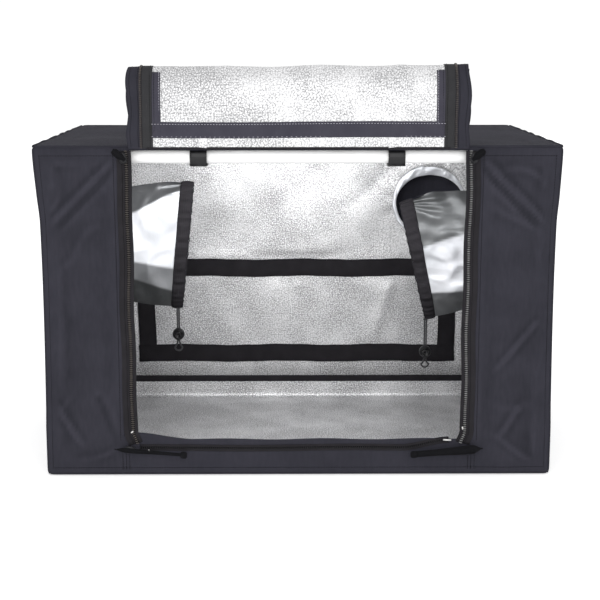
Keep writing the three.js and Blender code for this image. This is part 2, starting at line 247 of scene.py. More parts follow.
def copies(template, origins, along, up):
    """One copy of a small chunk at each origin, its x along the path, its z up and its y across."""
    along, up = unit(along), unit(up)
    across = unit(np.cross(up, along))
    up = np.cross(along, across)
    t = template.points
    points = (
        origins[:, None]
        + t[None, :, :1] * along[:, None]
        + t[None, :, 1:2] * across[:, None]
        + t[None, :, 2:] * up[:, None]
    )
    shift = (np.arange(len(origins)) * len(t))[:, None, None]
    faces = [(f[None] + shift).reshape(-1, f.shape[1]) for f in template.faces]
    uv = [np.tile(u, (len(origins), 1, 1)) for u in template.uv]
    return Chunk(points.reshape(-1, 3), faces, uv)


def bead(length, width, height):
    """A small lozenge along x that swells in its middle, such as one stitch or one zip tooth."""
    at = np.array([-0.5, -0.32, 0.32, 0.5]) * length
    swell = np.array([0.45, 1, 1, 0.45])
    ring = np.array([[0.5, 0], [0.25, 1], [-0.25, 1], [-0.5, 0]])
    rings = np.stack(
        [
            np.broadcast_to(at[:, None], (4, 4)),
            swell[:, None] * ring[None, :, 0] * width,
            swell[:, None] * ring[None, :, 1] * height,
        ],
        -1,
    )
    body = quads(4, 4, around=True)
    ends = np.array([[3, 2, 1, 0], [12, 13, 14, 15]])
    return Chunk(rings, [body, ends])


def resample(path, step):
    """Points evenly spaced along a path, about a step apart."""
    path = np.asarray(path, float)
    reach = lengths(path)
    count = max(2, int(reach[-1] / step) + 1)
    at = np.linspace(0, reach[-1], count)
    return np.stack([np.interp(at, reach, path[:, k]) for k in range(3)], -1)


def stitches(path, up, pitch=3.2 * MM, length=2.2 * MM, width=0.55 * MM, height=0.35 * MM):
    """A row of stitches along a path; up is the cloth's outward direction, one or one for each point."""
    path = np.asarray(path, float)
    points = resample(path, pitch)
    up = np.asarray(up, float)
    if up.ndim == 2:
        reach = lengths(path)
        at = np.linspace(0, reach[-1], len(points))
        up = np.stack([np.interp(at, reach, up[:, k]) for k in range(3)], -1)
    else:
        up = np.broadcast_to(up, points.shape)
    return copies(bead(length, width, height), points, np.gradient(points, axis=0), up)


def between(*stops, step):
    """Values through the stops, no further apart than step."""
    runs = []
    for low, high in zip(stops[:-1], stops[1:]):
        runs.append(np.linspace(low, high, max(1, math.ceil(abs(high - low) / step)) + 1)[:-1])
    return np.r_[np.concatenate(runs), stops[-1]]


def ease(x):
    """From 0 to 1 with no corner at either end."""
    x = np.clip(x, 0, 1)
    return x * x * (3 - 2 * x)


def waves(u, v, seed, wavelength, count=9, lean=None, spread=np.pi):
    """Smooth noise: the mean of count sines with seeded directions, lengths and phases, about -1 to 1."""
    r = np.random.default_rng(seed)
    angle = r.uniform(-spread / 2, spread / 2, count) + (r.uniform(0, np.pi) if lean is None else lean)
    pitch = wavelength * r.uniform(0.7, 1.5, count)
    phase = r.uniform(0, 2 * np.pi, count)
    found = 0
    for a, p, f in zip(angle, pitch, phase):
        found = found + np.sin(2 * np.pi * (u * np.cos(a) + v * np.sin(a)) / p + f)
    return found / np.sqrt(count) / 1.2


def folds(u, v, seed, wavelength, sharp=0.22):
    """Narrow ridges along the lines where smooth noise is zero, fading where a second noise is low."""
    line = waves(u, v, seed, wavelength)
    fade = ease(0.5 + 0.9 * waves(u, v, seed + 50, 2.2 * wavelength))
    return np.exp(-((line / sharp) ** 2)) * fade


def crease(u, v, start, end, width, height):
    """One straight fold from start to end: a bell across it, fading towards both ends."""
    start, end = np.asarray(start, float), np.asarray(end, float)
    run = end - start
    size = np.linalg.norm(run)
    along = ((u - start[0]) * run[0] + (v - start[1]) * run[1]) / size
    off = ((u - start[0]) * run[1] - (v - start[1]) * run[0]) / size
    fade = ease(along / (0.12 * size)) * ease((size - along) / (0.3 * size))
    return height * np.exp(-((off / width) ** 2)) * fade


# ---------------------------------------------------------------- finishes

class Value:
    """A socket of a finish. Arithmetic on it adds Math nodes."""

    def __init__(self, finish, socket):
        self.finish = finish
        self.socket = socket

    def math(self, operation, *others, swap=False, clamp=False):
        terms = (*others, self) if swap else (self, *others)
        settings = {"operation": operation, "use_clamp": clamp}
        return self.finish.node("ShaderNodeMath", settings, dict(enumerate(terms)))

    def __add__(self, other):
        return self.math("ADD", other)

    def __sub__(self, other):
        return self.math("SUBTRACT", other)

    def __rsub__(self, other):
        return self.math("SUBTRACT", other, swap=True)

    def __mul__(self, other):
        return self.math("MULTIPLY", other)


    def sine(self):
        return self.math("SINE")

    def above(self, low, high):
        """0 below low, 1 above high and even between them."""
        return ((self - low) * (1 / (high - low))).math("ADD", 0, clamp=True)


class Finish:
    """A material around one Principled shader, whose constant sockets are set by name."""

    def __init__(self, name, color, roughness, **constants):
        self.material = bpy.data.materials.new(name)
        self.material.use_nodes = True
        self.tree = self.material.node_tree
        self.shader = self.tree.nodes["Principled BSDF"]
        self.put("Base Color", (*color, 1))
        self.put("Roughness", roughness)
        for socket, value in constants.items():
            self.put(socket.replace("_", " "), value)

    def put(self, name, value):
        self.fill(self.shader.inputs[name], value)

    def fill(self, socket, value):
        if isinstance(value, Value):
            self.tree.links.new(value.socket, socket)
        else:
            socket.default_value = value

    def node(self, kind, settings=None, values=None, out=0):
        """Adds a node, sets it up, fills its sockets and gives back one of its outputs."""
        made = self.tree.nodes.new(kind)
        for key, value in (settings or {}).items():
            setattr(made, key, value)
        for key, value in (values or {}).items():
            self.fill(made.inputs[key], value)
        return Value(self, made.outputs[out])

    def shade(self):
        """The piece's painted shade, read from its shade attribute: above 0 darker, as painted shade, below 0
        lighter, as a painted highlight, and 0 where a piece has none.
        """
        return self.node("ShaderNodeAttribute", {"attribute_name": "shade"}, out="Fac")

    def place(self, of="UV"):
        return self.node("ShaderNodeTexCoord", out=of)

    def axes(self, of="UV"):
        """The coordinates one by one."""
        made = self.node("ShaderNodeSeparateXYZ", values={0: self.place(of)})
        return [Value(self, socket) for socket in made.socket.node.outputs]

    def noise(self, size, of="UV", detail=2.0, roughness=0.5, stretch=(1, 1, 1)):
        """Noise from 0 to 1 whose features are about size metres."""
        scaled = self.node(
            "ShaderNodeMapping", values={"Vector": self.place(of), "Scale": [s / size for s in stretch]}
        )
        values = {"Vector": scaled, "Scale": 1.0, "Detail": detail, "Roughness": roughness}
        return self.node("ShaderNodeTexNoise", values=values)

    def cells(self, size):
        """Distance to the nearest edge in a flat field of cells, each about size metres."""
        settings = {"feature": "DISTANCE_TO_EDGE", "voronoi_dimensions": "2D"}
        values = {"Vector": self.place(), "Scale": 1 / size}
        return self.node("ShaderNodeTexVoronoi", settings, values)

    def mix(self, factor, a, b):
        """Colour a where the factor is 0 and b where it is 1."""
        pair = [c if isinstance(c, Value) else (*c, 1) for c in (a, b)]
        values = {0: factor, 6: pair[0], 7: pair[1]}
        return self.node("ShaderNodeMix", {"data_type": "RGBA"}, values, out=2)

    def bump(self, height, strength, distance):
        values = {"Strength": strength, "Distance": distance, "Height": height}
        return self.node("ShaderNodeBump", values=values)


TURN = 2 * math.pi


def woven_cloth():
    """Black coarse weave: two crossed threads, cloudy wear in colour, and painted shade in its hollows with a
    painted highlight on its ridges, from the shade attribute.
    """
    f = Finish("woven_cloth", (0.03, 0.03, 0.038), 0.85, Specular_IOR_Level=0.03)
    u, v, _ = f.axes()
    thread = 1.3 * MM
    weave = (u * (TURN / thread)).sine() * (v * (TURN / thread)).sine()
    cloud = f.noise(0.07, detail=3)
    slub = f.noise(0.004, detail=1, stretch=(1, 0.25, 1))
    # Painted shade and highlight: the shade attribute darkens the cloth's hollows and lightens its ridges.
    tone = weave * 0.16 + cloud * 0.7 + slub * 0.35 - f.shade() * 0.3
    f.put("Base Color", f.mix(tone.above(0.1, 1.0), (0.021, 0.021, 0.027), (0.042, 0.041, 0.053)))
    f.put("Roughness", cloud * 0.12 + 0.7)
    f.put("Normal", f.bump(weave * 0.6 + slub, 0.35, 0.35 * MM))
    return f.material


def pebbled_film():
    """Silver film pressed with small pebbles: painted shade darkens their gaps where broad noise lets it
    show, and painted crease shade comes from the shade attribute.
    """
    f = Finish("pebbled_film", (0.75, 0.75, 0.76), 0.34, Metallic=0.5)
    gaps = f.cells(2.9 * MM)
    grains = f.noise(2.1 * MM, detail=1)
    cloud = f.noise(0.05, detail=3, roughness=0.6)
    broad = f.noise(0.16, detail=2)
    shows = (cloud * 0.6 + broad * 0.5).above(0.36, 0.64)
    # Painted shade in the gaps between pebbles and on fine noise spots among them; the shade attribute adds
    # painted shade in the lining's creases.
    pebble_shade = (1 - gaps.above(0.03, 0.26)) * 0.6 + grains.above(0.44, 0.62) * 0.7
    dark = pebble_shade * (shows * 0.6 + 0.4) + shows * 0.14 + f.shade() * 0.12
    f.put("Base Color", f.mix(dark.above(0, 1), (0.86, 0.86, 0.87), (0.3, 0.3, 0.307)))
    f.put("Roughness", dark * 0.2 + 0.3)
    f.put("Normal", f.bump(gaps.above(0, 0.3) - grains * 0.6, 0.45, 0.3 * MM))
    return f.material


def smooth_film():
    """Thin silver cloth of the sleeves: bright and limp, with a faint thread and fine crumples, and painted
    shade on the facets turned from the light, from the shade attribute.
    """
    f = Finish("smooth_film", (0.7, 0.72, 0.75), 0.3, Metallic=0.6)
    crumple = f.noise(0.016, detail=4, roughness=0.62)
    cloud = f.noise(0.05, detail=2)
    film = f.mix(cloud.above(0.3, 0.75), (0.8, 0.81, 0.85), (0.55, 0.57, 0.6))
    # Painted shade and painted dark reflection: the shade attribute darkens the facets that face away from
    # the light.
    f.put("Base Color", f.mix(f.shade().above(0, 1), film, (0.02, 0.022, 0.022)))
    f.put("Roughness", crumple * 0.25 + 0.3)
    f.put("Normal", f.bump(crumple, 0.28, 1.6 * MM))
    return f.material


def ribbed_tape(name, color, light, rib=1.1 * MM):
    """Woven tape with fine ribs across its length, and a few lighter threads."""
    f = Finish(name, color, 0.75, Specular_IOR_Level=0.08)
    u, v, _ = f.axes()
    ribs = (u * (TURN / rib)).sine()
    edge = (v * (TURN / (2.2 * rib))).sine()
    cloud = f.noise(0.02, of="Object", detail=3)
    tone = ribs * 0.18 + cloud * 0.8
    f.put("Base Color", f.mix(tone.above(0.15, 0.85), color, light))
    f.put("Roughness", cloud * 0.2 + 0.6)
    f.put("Normal", f.bump(ribs * 0.7 + edge * 0.3, 0.5, 0.3 * MM))
    return f.material


def moulded(name, color, roughness, gloss=0.0):
    """Moulded plastic or lacquer with a fine grain and slight handling marks."""
    f = Finish(name, color, roughness, Coat_Weight=gloss, Coat_Roughness=0.12, Specular_IOR_Level=0.3)
    fine = f.noise(0.6 * MM, of="Object", detail=2)
    rub = f.noise(0.012, of="Object", detail=4, roughness=0.65)
    lighter = [c * 1.25 + 0.004 for c in color]
    f.put("Base Color", f.mix(rub.above(0.45, 0.8), color, lighter))
    f.put("Roughness", rub * 0.18 + (roughness - 0.09))
    f.put("Normal", f.bump(fine, 0.12, 0.1 * MM))
    return f.material


def white_lacquer():
    """Powder-coated steel: white, with a faint orange-peel surface and a clear gloss."""
    f = Finish("white_lacquer", (0.87, 0.87, 0.87), 0.32, Coat_Weight=0.4, Coat_Roughness=0.1)
    peel = f.noise(1.2 * MM, of="Object", detail=1)
    mark = f.noise(0.03, of="Object", detail=4, roughness=0.7)
    f.put("Base Color", f.mix(mark.above(0.5, 0.85), (0.88, 0.88, 0.88), (0.8, 0.8, 0.79)))
    f.put("Roughness", mark * 0.15 + 0.25)
    f.put("Normal", f.bump(peel, 0.1, 0.1 * MM))
    return f.material


def nickel_plate(name, dark, light):
    """Plated metal, slightly brushed, dull in patches."""
    f = Finish(name, light, 0.24, Metallic=1.0)
    brush = f.noise(0.5 * MM, of="Object", detail=2, stretch=(1, 1, 5))
    dull = f.noise(3 * MM, of="Object", detail=3)
    f.put("Base Color", f.mix(dull.above(0.4, 0.8), light, dark))
    f.put("Roughness", brush * 0.2 + 0.2)
    return f.material


def zip_coil(name, dark, light):
    """Nylon coil: waxy, lighter in patches of broad noise."""
    f = Finish(name, dark, 0.34, Specular_IOR_Level=0.3)
    lighter_patches = f.noise(5 * MM, of="Object", detail=3)
    f.put("Base Color", f.mix(lighter_patches.above(0.3, 0.8), dark, light))
    f.put("Roughness", lighter_patches * 0.2 + 0.25)
    return f.material


def thread(name, color):
    """Sewing thread: two plies twisted round each other."""
    f = Finish(name, color, 0.6, Specular_IOR_Level=0.1)
    ply = f.noise(0.4 * MM, of="Object", detail=1)
    shade = [c * 0.6 for c in color]
    f.put("Base Color", f.mix(ply, shade, color))
    return f.material


def braided_cord():
    """Black drawcord: a diagonal braid over Object coordinates with a dull shine."""
    f = Finish("braided_cord", (0.02, 0.02, 0.022), 0.55)
    x, y, z = f.axes("Object")
    pitch = TURN / (1.5 * MM)
    braid = ((z + x * 2 + y) * pitch).sine() * ((z - x * 2 - y) * pitch).sine()
    f.put("Base Color", f.mix(braid.above(-0.6, 0.8), (0.012, 0.012, 0.014), (0.05, 0.05, 0.055)))
    f.put("Normal", f.bump(braid, 0.5, 0.3 * MM))
    return f.material


def knitted_net():
    """Fine black net: round openings in staggered rows, cut out by alpha."""
    f = Finish("knitted_net", (0.02, 0.02, 0.022), 0.7)
    u, v, _ = f.axes()
    pitch = 2.2 * MM
    a = ((u + v) * (TURN / pitch)).sine()
    b = ((u - v) * (TURN / pitch)).sine()
    opening = (a * b).math("ABSOLUTE")
    f.put("Alpha", 1 - opening.above(0.3, 0.36))
    f.put("Base Color", f.mix(f.noise(0.01), (0.014, 0.014, 0.016), (0.04, 0.04, 0.044)))
    return f.material


CLOTH_FINISH = woven_cloth()
LINING = pebbled_film()
SILVER = smooth_film()
BLACK_TAPE = ribbed_tape("black_tape", (0.014, 0.013, 0.015), (0.028, 0.026, 0.03))
STRAP = ribbed_tape("strap", (0.003, 0.003, 0.004), (0.009, 0.009, 0.011))
BAND_TAPE = ribbed_tape("band_tape", (0.04, 0.038, 0.052), (0.065, 0.063, 0.08))
ZIP_TAPE = ribbed_tape("zip_tape", (0.026, 0.026, 0.028), (0.044, 0.044, 0.047), rib=0.9 * MM)
GLOSS_BLACK = moulded("gloss_black", (0.004, 0.004, 0.005), 0.24, gloss=0.12)
DULL_BLACK = moulded("dull_black", (0.007, 0.007, 0.008), 0.42)
WHITE = white_lacquer()
NICKEL = nickel_plate("nickel_plate", (0.45, 0.44, 0.43), (0.76, 0.75, 0.74))
GUNMETAL = nickel_plate("gunmetal", (0.012, 0.012, 0.013), (0.035, 0.035, 0.037))
COIL = zip_coil("zip_coil", (0.045, 0.04, 0.038), (0.1, 0.085, 0.075))
# The same coil drawn lighter, as a painted highlight on the right run where the light falls.
PAINTED_HIGHLIGHT_COIL = zip_coil("painted_highlight_zip_coil", (0.12, 0.12, 0.12), (0.28, 0.28, 0.28))
WHITE_THREAD = thread("white_thread", (0.55, 0.54, 0.6))
BLACK_THREAD = thread("black_thread", (0.004, 0.004, 0.005))
BRAID = braided_cord()
NET = knitted_net()


# ---------------------------------------------------------------- cover

HALF = np.array([SIDE, (BACK - FRONT) / 2, TOP / 2])
CENTRE = np.array([0, MID, TOP / 2])
HEM = 10 * MM  # the turned band along the roof's edge


def slack(points):
    """Draws the front and sides in between the joiners, and lets the roof's side seams stand proud.

    The bow is a sine of height to the power 1.35, held back beside the joiners. Both shifts grow with a high
    power of the distance from the middle, so they are felt only near the sides.
    """
    points = np.array(points, float)
    z = points[..., 2]
    bow = 2.4 * MM * np.sin(np.pi * np.clip(z / TOP, 0, 1) ** 1.35)
    bow = bow * (0.3 + 0.7 * ease((335 * MM - z) / (35 * MM)) * ease((z - 50 * MM) / (35 * MM)))
    off = points - CENTRE
    share = np.abs(off[..., :2] / HALF[:2])
    points[..., 0] -= np.sign(off[..., 0]) * bow * share[..., 0] ** 10
    points[..., 1] += bow * share[..., 1] ** 10 * (off[..., 1] < 0)
    proud = np.where(off[..., 0] < 0, 4.2 * MM, 2.4 * MM) * ease((z - 305 * MM) / (85 * MM))
    points[..., 0] += np.sign(off[..., 0]) * proud * share[..., 0] ** 8
    return points


def room(a, b):
    """How far a panel may sink before it touches the frame, from its distances to the nearest edges."""
    near, far = np.minimum(a, b), np.maximum(a, b)
    joiner = ease((26 * MM - near) / (6 * MM)) * ease((56 * MM - far) / (12 * MM))
    open_wall = 0.6 * MM + 2.8 * MM * ease((near - 20 * MM) / (16 * MM))
    return open_wall * (1 - joiner) + 0.15 * MM * joiner


def held_off(height, depth):
    """Relief that sinks no further than a depth, by a hyperbolic tangent, and rises freely."""
    return np.where(height < 0, depth * np.tanh(height / depth), height)


def soften(points):
    """Rounds the box's edges: points go out by the bend's radius from a box that is smaller by it."""
    off = points - CENTRE
    core = np.clip(off, -(HALF - BEND), HALF - BEND)
    return CENTRE + core + BEND * unit(off - core)


def opened(u, v, centre):
    """Draws the square about a port into a circle: offsets shrink by square size over distance.

    The pull fades to nothing over PORT_FADE outside the square.
    """
    du, dv = u - centre[0], v - centre[1]
    square = np.maximum(np.abs(du), np.abs(dv))
    far = np.maximum(np.hypot(du, dv), 1e-9)
    pull = 1 + (square / far - 1) * (1 - ease((square - PORT_R) / PORT_FADE))
    return centre[0] + du * pull, centre[1] + dv * pull


def seam_band(distance, width, height=0.5 * MM):
    """A doubled strip of cloth along an edge, distance from it on."""
    return height * ease((width - distance) / (1.2 * MM) + 0.5)


def panel(name, outward, across, us, vs, relief, ports=(), windows=(), flat=None, area=None):
    """One side of the cover: a grid, opened at its ports and windows, rounded at its edges and wrinkled, with
    painted shade in its hollows and a painted highlight on its ridges.
    """
    outward, across = np.array(outward, float), np.array(across, float)
    up = np.cross(outward, across)
    centre = CENTRE + outward * HALF
    u, v = np.meshgrid(us, vs)
    keep = np.ones((len(vs) - 1, len(us) - 1), bool)
    middle = [(a[:-1, :-1] + a[1:, 1:]) / 2 for a in (u, v)]
    for u0, u1, v0, v1 in windows:
        keep &= ~((middle[0] > u0) & (middle[0] < u1) & (middle[1] > v0) & (middle[1] < v1))
    for at in ports:
        keep &= np.maximum(np.abs(middle[0] - at[0]), np.abs(middle[1] - at[1])) > PORT_R
        u, v = opened(u, v, at)
    box_point = centre + across * u[..., None] + up * (v - centre @ up)[..., None]
    rounded_point = soften(box_point)
    edges = np.sort(HALF - np.abs(box_point - CENTRE) + 2 * HALF * np.abs(outward), axis=-1)
    lift = relief(u, v, edges[..., 0], edges[..., 1]) * ease(edges[..., 0] / (10 * MM))
    points = slack(rounded_point + outward * lift[..., None])
    # Painted shade: the relief's curvature, carried by the shade attribute, darkens hollows and lightens
    # ridges.
    crease_shade = sum(np.gradient(np.gradient(lift, axis=k), axis=k) for k in (0, 1))
    crease_shade = np.clip(crease_shade / (0.3 * MM), -1, 1) * ease((edges[..., 0] - 12 * MM) / (8 * MM))
    sheet = grid(points, us, vs, keep=keep, shade=crease_shade)
    piece = build(name + "_cloth", [sheet], [CLOTH_FINISH, LINING], stands_for=name)
    thicken(piece, CLOTH, inside=1)
    return piece


def front_relief(x, z, *edges):
    """Height of the front's relief: hems, corner folds, pulls from the doorway's corners and soft swells."""
    side = np.abs(x)
    away = ease((side - DOOR_X - 16 * MM) / (22 * MM))
    swell = 1.5 * MM * waves(x, z, 3, 0.15) + 0.45 * MM * waves(x, z, 4, 0.05)
    ridge = 0.55 * MM * folds(x, z, 5, 0.09)
    left, right = x < 0, x > 0
    pulls = (
        crease(side, z, (0.204, 0.38), (0.296, 0.29), 4.2 * MM, 2.2 * MM) * np.where(right, 1, 0.5)
        - crease(side, z, (0.202, 0.371), (0.294, 0.281), 4.5 * MM, 1.6 * MM) * np.where(right, 1, 0.5)
        + left * crease(x, z, (-0.294, 0.098), (-0.252, 0.03), 4.4 * MM, 1.2 * MM)
        - left * crease(x, z, (-0.238, 0.1), (-0.214, 0.04), 4.4 * MM, 0.7 * MM)
        + right * crease(x, z, (0.262, 0.085), (0.236, 0.042), 4.4 * MM, 0.8 * MM)
        + right * crease(x, z, (0.283, 0.19), (0.226, 0.12), 4 * MM, 0.7 * MM)
    )
    soft = held_off((swell + ridge + pulls - 0.9 * MM) * away, room(SIDE - side, np.minimum(z, TOP - z)))
    hems = seam_band(TOP - z, HEM) + seam_band(SIDE - side, 6.5 * MM, 0.7 * MM) + seam_band(z, 8 * MM)
    return soft + hems


def wall_relief(seed, ports=(), size=1.0, calm=None):
    """The relief of a side, rear or roof panel: swells, straight folds and fine pulls round its ports.

    Calm is the half width and the height of a part at the foot that stays nearly flat.
    """
    chance = np.random.default_rng(seed)
    starts = chance.uniform((-0.19, 0.03), (0.19, 0.35), (9, 2))
    turns = chance.choice((-1, 1), 9) * chance.uniform(0.4, 1.2, 9)
    runs = chance.uniform(0.06, 0.13, (9, 1)) * np.stack([np.cos(turns), np.sin(turns)], -1)

    def relief(u, v, edge, second):
        height = size * (2.2 * MM * waves(u, v, seed, 0.17) + 0.5 * MM * waves(u, v, seed + 1, 0.06))
        for start, run in zip(starts, runs):
            height = height + crease(u, v, start, start + run, 9 * MM, 0.7 * MM * size)
        for at in ports:
            angle = np.arctan2(v - at[1], u - at[0])
            far = np.hypot(u - at[0], v - at[1]) - PORT_R
            fade = np.exp(-far / (16 * MM)) * ease(far / (5 * MM))
            height = height + 0.9 * MM * fade * np.sin(11 * angle + 2 * np.sin(3 * angle))
        soft = (height - 1.2 * MM * size) * ease(edge / (30 * MM))
        if calm:
            inside = ease((calm[0] - np.abs(u)) / (9 * MM)) * ease((calm[1] - v) / (9 * MM))
            soft = soft * (1 - 0.92 * inside)
        return held_off(soft, room(edge, second)) + seam_band(edge, 7 * MM)

    return relief


def sill_droop(points):
    """Moves the sill's top edge off a straight line: up into the left corner, slightly down in the middle."""
    x, z = points[:, 0].copy(), points[:, 2].copy()
    beside = ease((DOOR_X + 30 * MM - np.abs(x)) / (25 * MM))
    share = np.clip(z / SILL, 0, 1) ** 3 * beside * (z <= SILL + 1e-6)
    rise = 8 * MM * ease(1 - (x + DOOR_X) / (75 * MM)) - 1.5 * MM + 0.7 * MM * np.sin(x / (19 * MM))
    points[:, 2] += rise * share


FRONT_STEP = 3.4 * MM  # the grids' spacing on the front and on the other panels
PANEL_STEP = 4 * MM
SIDE_PORT = 0.0, 248 * MM  # across from the middle, and height
REAR_PORT = 190 * MM, 282 * MM
VENT_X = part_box("vent_net")[1].x - 8 * MM
VENT_LOW, VENT_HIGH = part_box("vent_net")[0].z + 8 * MM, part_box("vent_net")[1].z - 8 * MM


def cover():
    """All six panels."""
    doorway = (-DOOR_X, DOOR_X, SILL, DOOR_TOP)
    us = between(-SIDE, -DOOR_X, DOOR_X, SIDE, step=FRONT_STEP)
    vs = between(0, SILL, DOOR_TOP, TOP, step=FRONT_STEP)
    depth = 2 * HALF[1]
    front = panel(
        "front_panel", (0, -1, 0), (1, 0, 0), us, vs, front_relief,
        windows=[doorway], flat=(2 * SIDE, TOP),
        area=2 * SIDE * TOP - 2 * DOOR_X * (DOOR_TOP - SILL),
    )
    places = np.empty(len(front.data.vertices) * 3, np.float32)
    front.data.vertices.foreach_get("co", places)
    places = places.reshape(-1, 3)
    sill_droop(places)
    front.data.vertices.foreach_set("co", places.ravel())

    port = -REAR_PORT[0], REAR_PORT[1]
    us = between(-SIDE, port[0] - PORT_R, -VENT_X, port[0] + PORT_R, VENT_X, SIDE, step=PANEL_STEP)
    vs = between(0, VENT_LOW, VENT_HIGH, port[1] - PORT_R, port[1] + PORT_R, TOP, step=PANEL_STEP)
    hole = math.pi * PORT_R**2
    relief = wall_relief(20, [port], calm=(240 * MM, 212 * MM))
    panel(
        "back_panel", (0, 1, 0), (-1, 0, 0), us, vs, relief, ports=[port],
        windows=[(-VENT_X, VENT_X, VENT_LOW, VENT_HIGH)],
        flat=(2 * SIDE, TOP), area=2 * SIDE * TOP - 2 * VENT_X * (VENT_HIGH - VENT_LOW) - hole,
    )
    us = between(-depth / 2, -PORT_R, PORT_R, depth / 2, step=PANEL_STEP)
    vs = between(0, SIDE_PORT[1] - PORT_R, SIDE_PORT[1] + PORT_R, TOP, step=PANEL_STEP)
    for name, sign, seed in (("left_panel", -1, 30), ("right_panel", 1, 40)):
        panel(
            name, (sign, 0, 0), (0, sign, 0), us, vs, wall_relief(seed, [SIDE_PORT]),
            ports=[SIDE_PORT], flat=(depth, TOP), area=depth * TOP - hole,
        )
    us = between(-SIDE, SIDE, step=PANEL_STEP)
    vs = between(-depth / 2, depth / 2, step=PANEL_STEP) + MID
    flat = (2 * SIDE, depth)
    panel("roof_panel", (0, 0, 1), (1, 0, 0), us, vs, wall_relief(50, size=0.55), flat=flat)
    panel("floor_panel", (0, 0, -1), (-1, 0, 0), us, vs, lambda u, v, *edges: 0 * u, flat=flat)


EDGE_POINTS = 90


def edge_path(a, b):
    """Points along one edge of the box, between corners given as signs, drawn in like the cloth."""
    ends = CENTRE + np.array([a, b]) * (HALF - 0.5 * BEND)
    t = np.linspace(0, 1, EDGE_POINTS)[:, None]
    line = ends[0] * (1 - t) + ends[1] * t
    signs = (np.array(a) + np.array(b)) / 2
    out = np.abs(signs) > 0.5
    line = np.where(out, CENTRE + signs * HALF, line)
    return slack(soften(line))


def piping():
    """A thin rolled seam along every edge of the cover, thicker and uneven round the roof."""
    chunks = []
    along = np.linspace(0, 0.6, EDGE_POINTS)
    bell = np.sin(np.linspace(0, np.pi, EDGE_POINTS))
    wobble = 0.8 * MM * waves(along, 0, 66, 0.09, lean=0, spread=0.4)
    for axis in range(3):
        for s in (-1, 1):
            for t in (-1, 1):
                low, high = [s, t], [s, t]
                low.insert(axis, -1)
                high.insert(axis, 1)
                side = [0, 0, 0]
                side[(axis + 1) % 3] = 1
                path = edge_path(low, high)
                roof = low[2] == high[2] == 1 and (low[1], high[1]) != (-1, -1)
                path[:, 2] += (0.9 * MM + wobble * bell) * roof
                chunks.append(sweep(path, circle((1.6 if roof else 0.9) * MM, 10), side=side))
    build("edge_piping", chunks, [CLOTH_FINISH])


def front_y(x, z):
    """Depth of the front panel's outer face, away from its edges."""
    x, z = np.asarray(x, float), np.asarray(z, float)
    return FRONT - front_relief(x, z)


def on_front(path, lift=0.0):
    """Lays a path of (x, z) pairs on the front panel, lifted outwards."""
    path = np.asarray(path, float)
    points = np.stack([path[:, 0], front_y(path[:, 0], path[:, 1]) - lift, path[:, 1]], -1)
    return slack(points)


def line(a, b):
    """Points from a to b in the plane, about 4 mm apart."""
    a, b = np.asarray(a, float), np.asarray(b, float)
    t = np.linspace(0, 1, max(2, int(np.linalg.norm(b - a) / (4 * MM))))[:, None]
    return a * (1 - t) + b * t


def front_stitching():
    """Rows of black thread: down both corners, under the top hem, over the bottom hem and beside the zips."""
    rows = []
    side, under = SIDE - 8 * MM, TOP - HEM - 1.5 * MM
    for s in (-1, 1):
        rows.append(line((s * side, 12 * MM), (s * side, TOP - 12 * MM)))
        rows.append(line((s * side, under), (s * 205 * MM, under)))
        rows.append(line((s * 211 * MM, 44 * MM), (s * 211 * MM, TOP - HEM)))
        for k in range(3):
            x = s * (201 + 4 * k) * MM
            rows.append(line((x, 8 * MM), (x, 26 * MM)))
    rows.append(line((-side, 9.5 * MM), (side, 9.5 * MM)))
    chunks = [stitches(on_front(r), FORWARD, pitch=3 * MM) for r in rows]
    build("front_stitching", chunks, [BLACK_THREAD])


# ---------------------------------------------------------------- frame of poles

def poles():
    """Smooth round tubes with rounded lips, each in its own place, of the size of its stand-in."""
    wall = 0.8 * MM
    for name in frame["nodes"]:
        if not (name.startswith("pole_") and "clip" not in name) and name != "hanging_bar":
            continue
        low, high = (np.array(c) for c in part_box(name))
        axis = int(np.argmax(high - low))
        length = (high - low)[axis]
        start = (low + high) / 2
        start[axis] = low[axis]
        lip = 0.3 * MM
        profile = [
            (POLE_R - lip, 0), (POLE_R, lip), (POLE_R, length / 2), (POLE_R, length - lip),
            (POLE_R - lip, length), (POLE_R - wall, length), (POLE_R - wall, 0),
        ]
        body = next(b for b, names in frame["record"]["behaviour"]["bodies"].items() if name in names)
        tube = turned(profile, start, np.eye(3)[axis], sides=48)
        build(name + "_tube", [tube], [WHITE], body, name)


def socket_profile(radius, bore, start, reach):
    """A socket's section: a thick tube with a raised rim at its mouth."""
    rim, lip = 1.0 * MM, 0.6 * MM
    return [
        (bore, start), (radius - lip, 0), (radius - lip, reach - 6 * MM), (radius, reach - 5 * MM),
        (radius, reach - lip), (radius - lip, reach), (bore + 0.3 * MM, reach), (bore, reach - rim),
    ]


def ball(radius, centre):
    """A globe: a half circle of (radius, height) pairs spun about an upright axis."""
    turn = np.linspace(-np.pi / 2, np.pi / 2, 17)
    profile = radius * np.stack([np.cos(turn), np.sin(turn)], -1)
    profile[[0, -1], 0] = 0
    return turned(profile, centre, (0, 0, 1), sides=32)


def joiners():
    """Three moulded sockets that meet in a ball at each corner of the frame."""
    radius, bore, reach = 9.7 * MM, 8.3 * MM, 36 * MM
    for name in frame["nodes"]:
        if not name.startswith("joiner_"):
            continue
        _, level, end, side = name.split("_")
        signs = [1 if side == "left" else -1, 1 if end == "front" else -1, -1 if level == "top" else 1]
        corner = np.array([
            POLE_X * (-1 if side == "left" else 1), POLE_Y[end == "back"], POLE_Z[level == "top"],
        ])
        chunks = [ball(radius, corner)]
        for axis, sign in enumerate(signs):
            direction = sign * np.eye(3)[axis]
            chunks.append(turned(socket_profile(radius, bore, 11 * MM, reach), corner, direction, sides=40))
        build(name + "_moulding", chunks, [DULL_BLACK], "tent", name, weld=True)


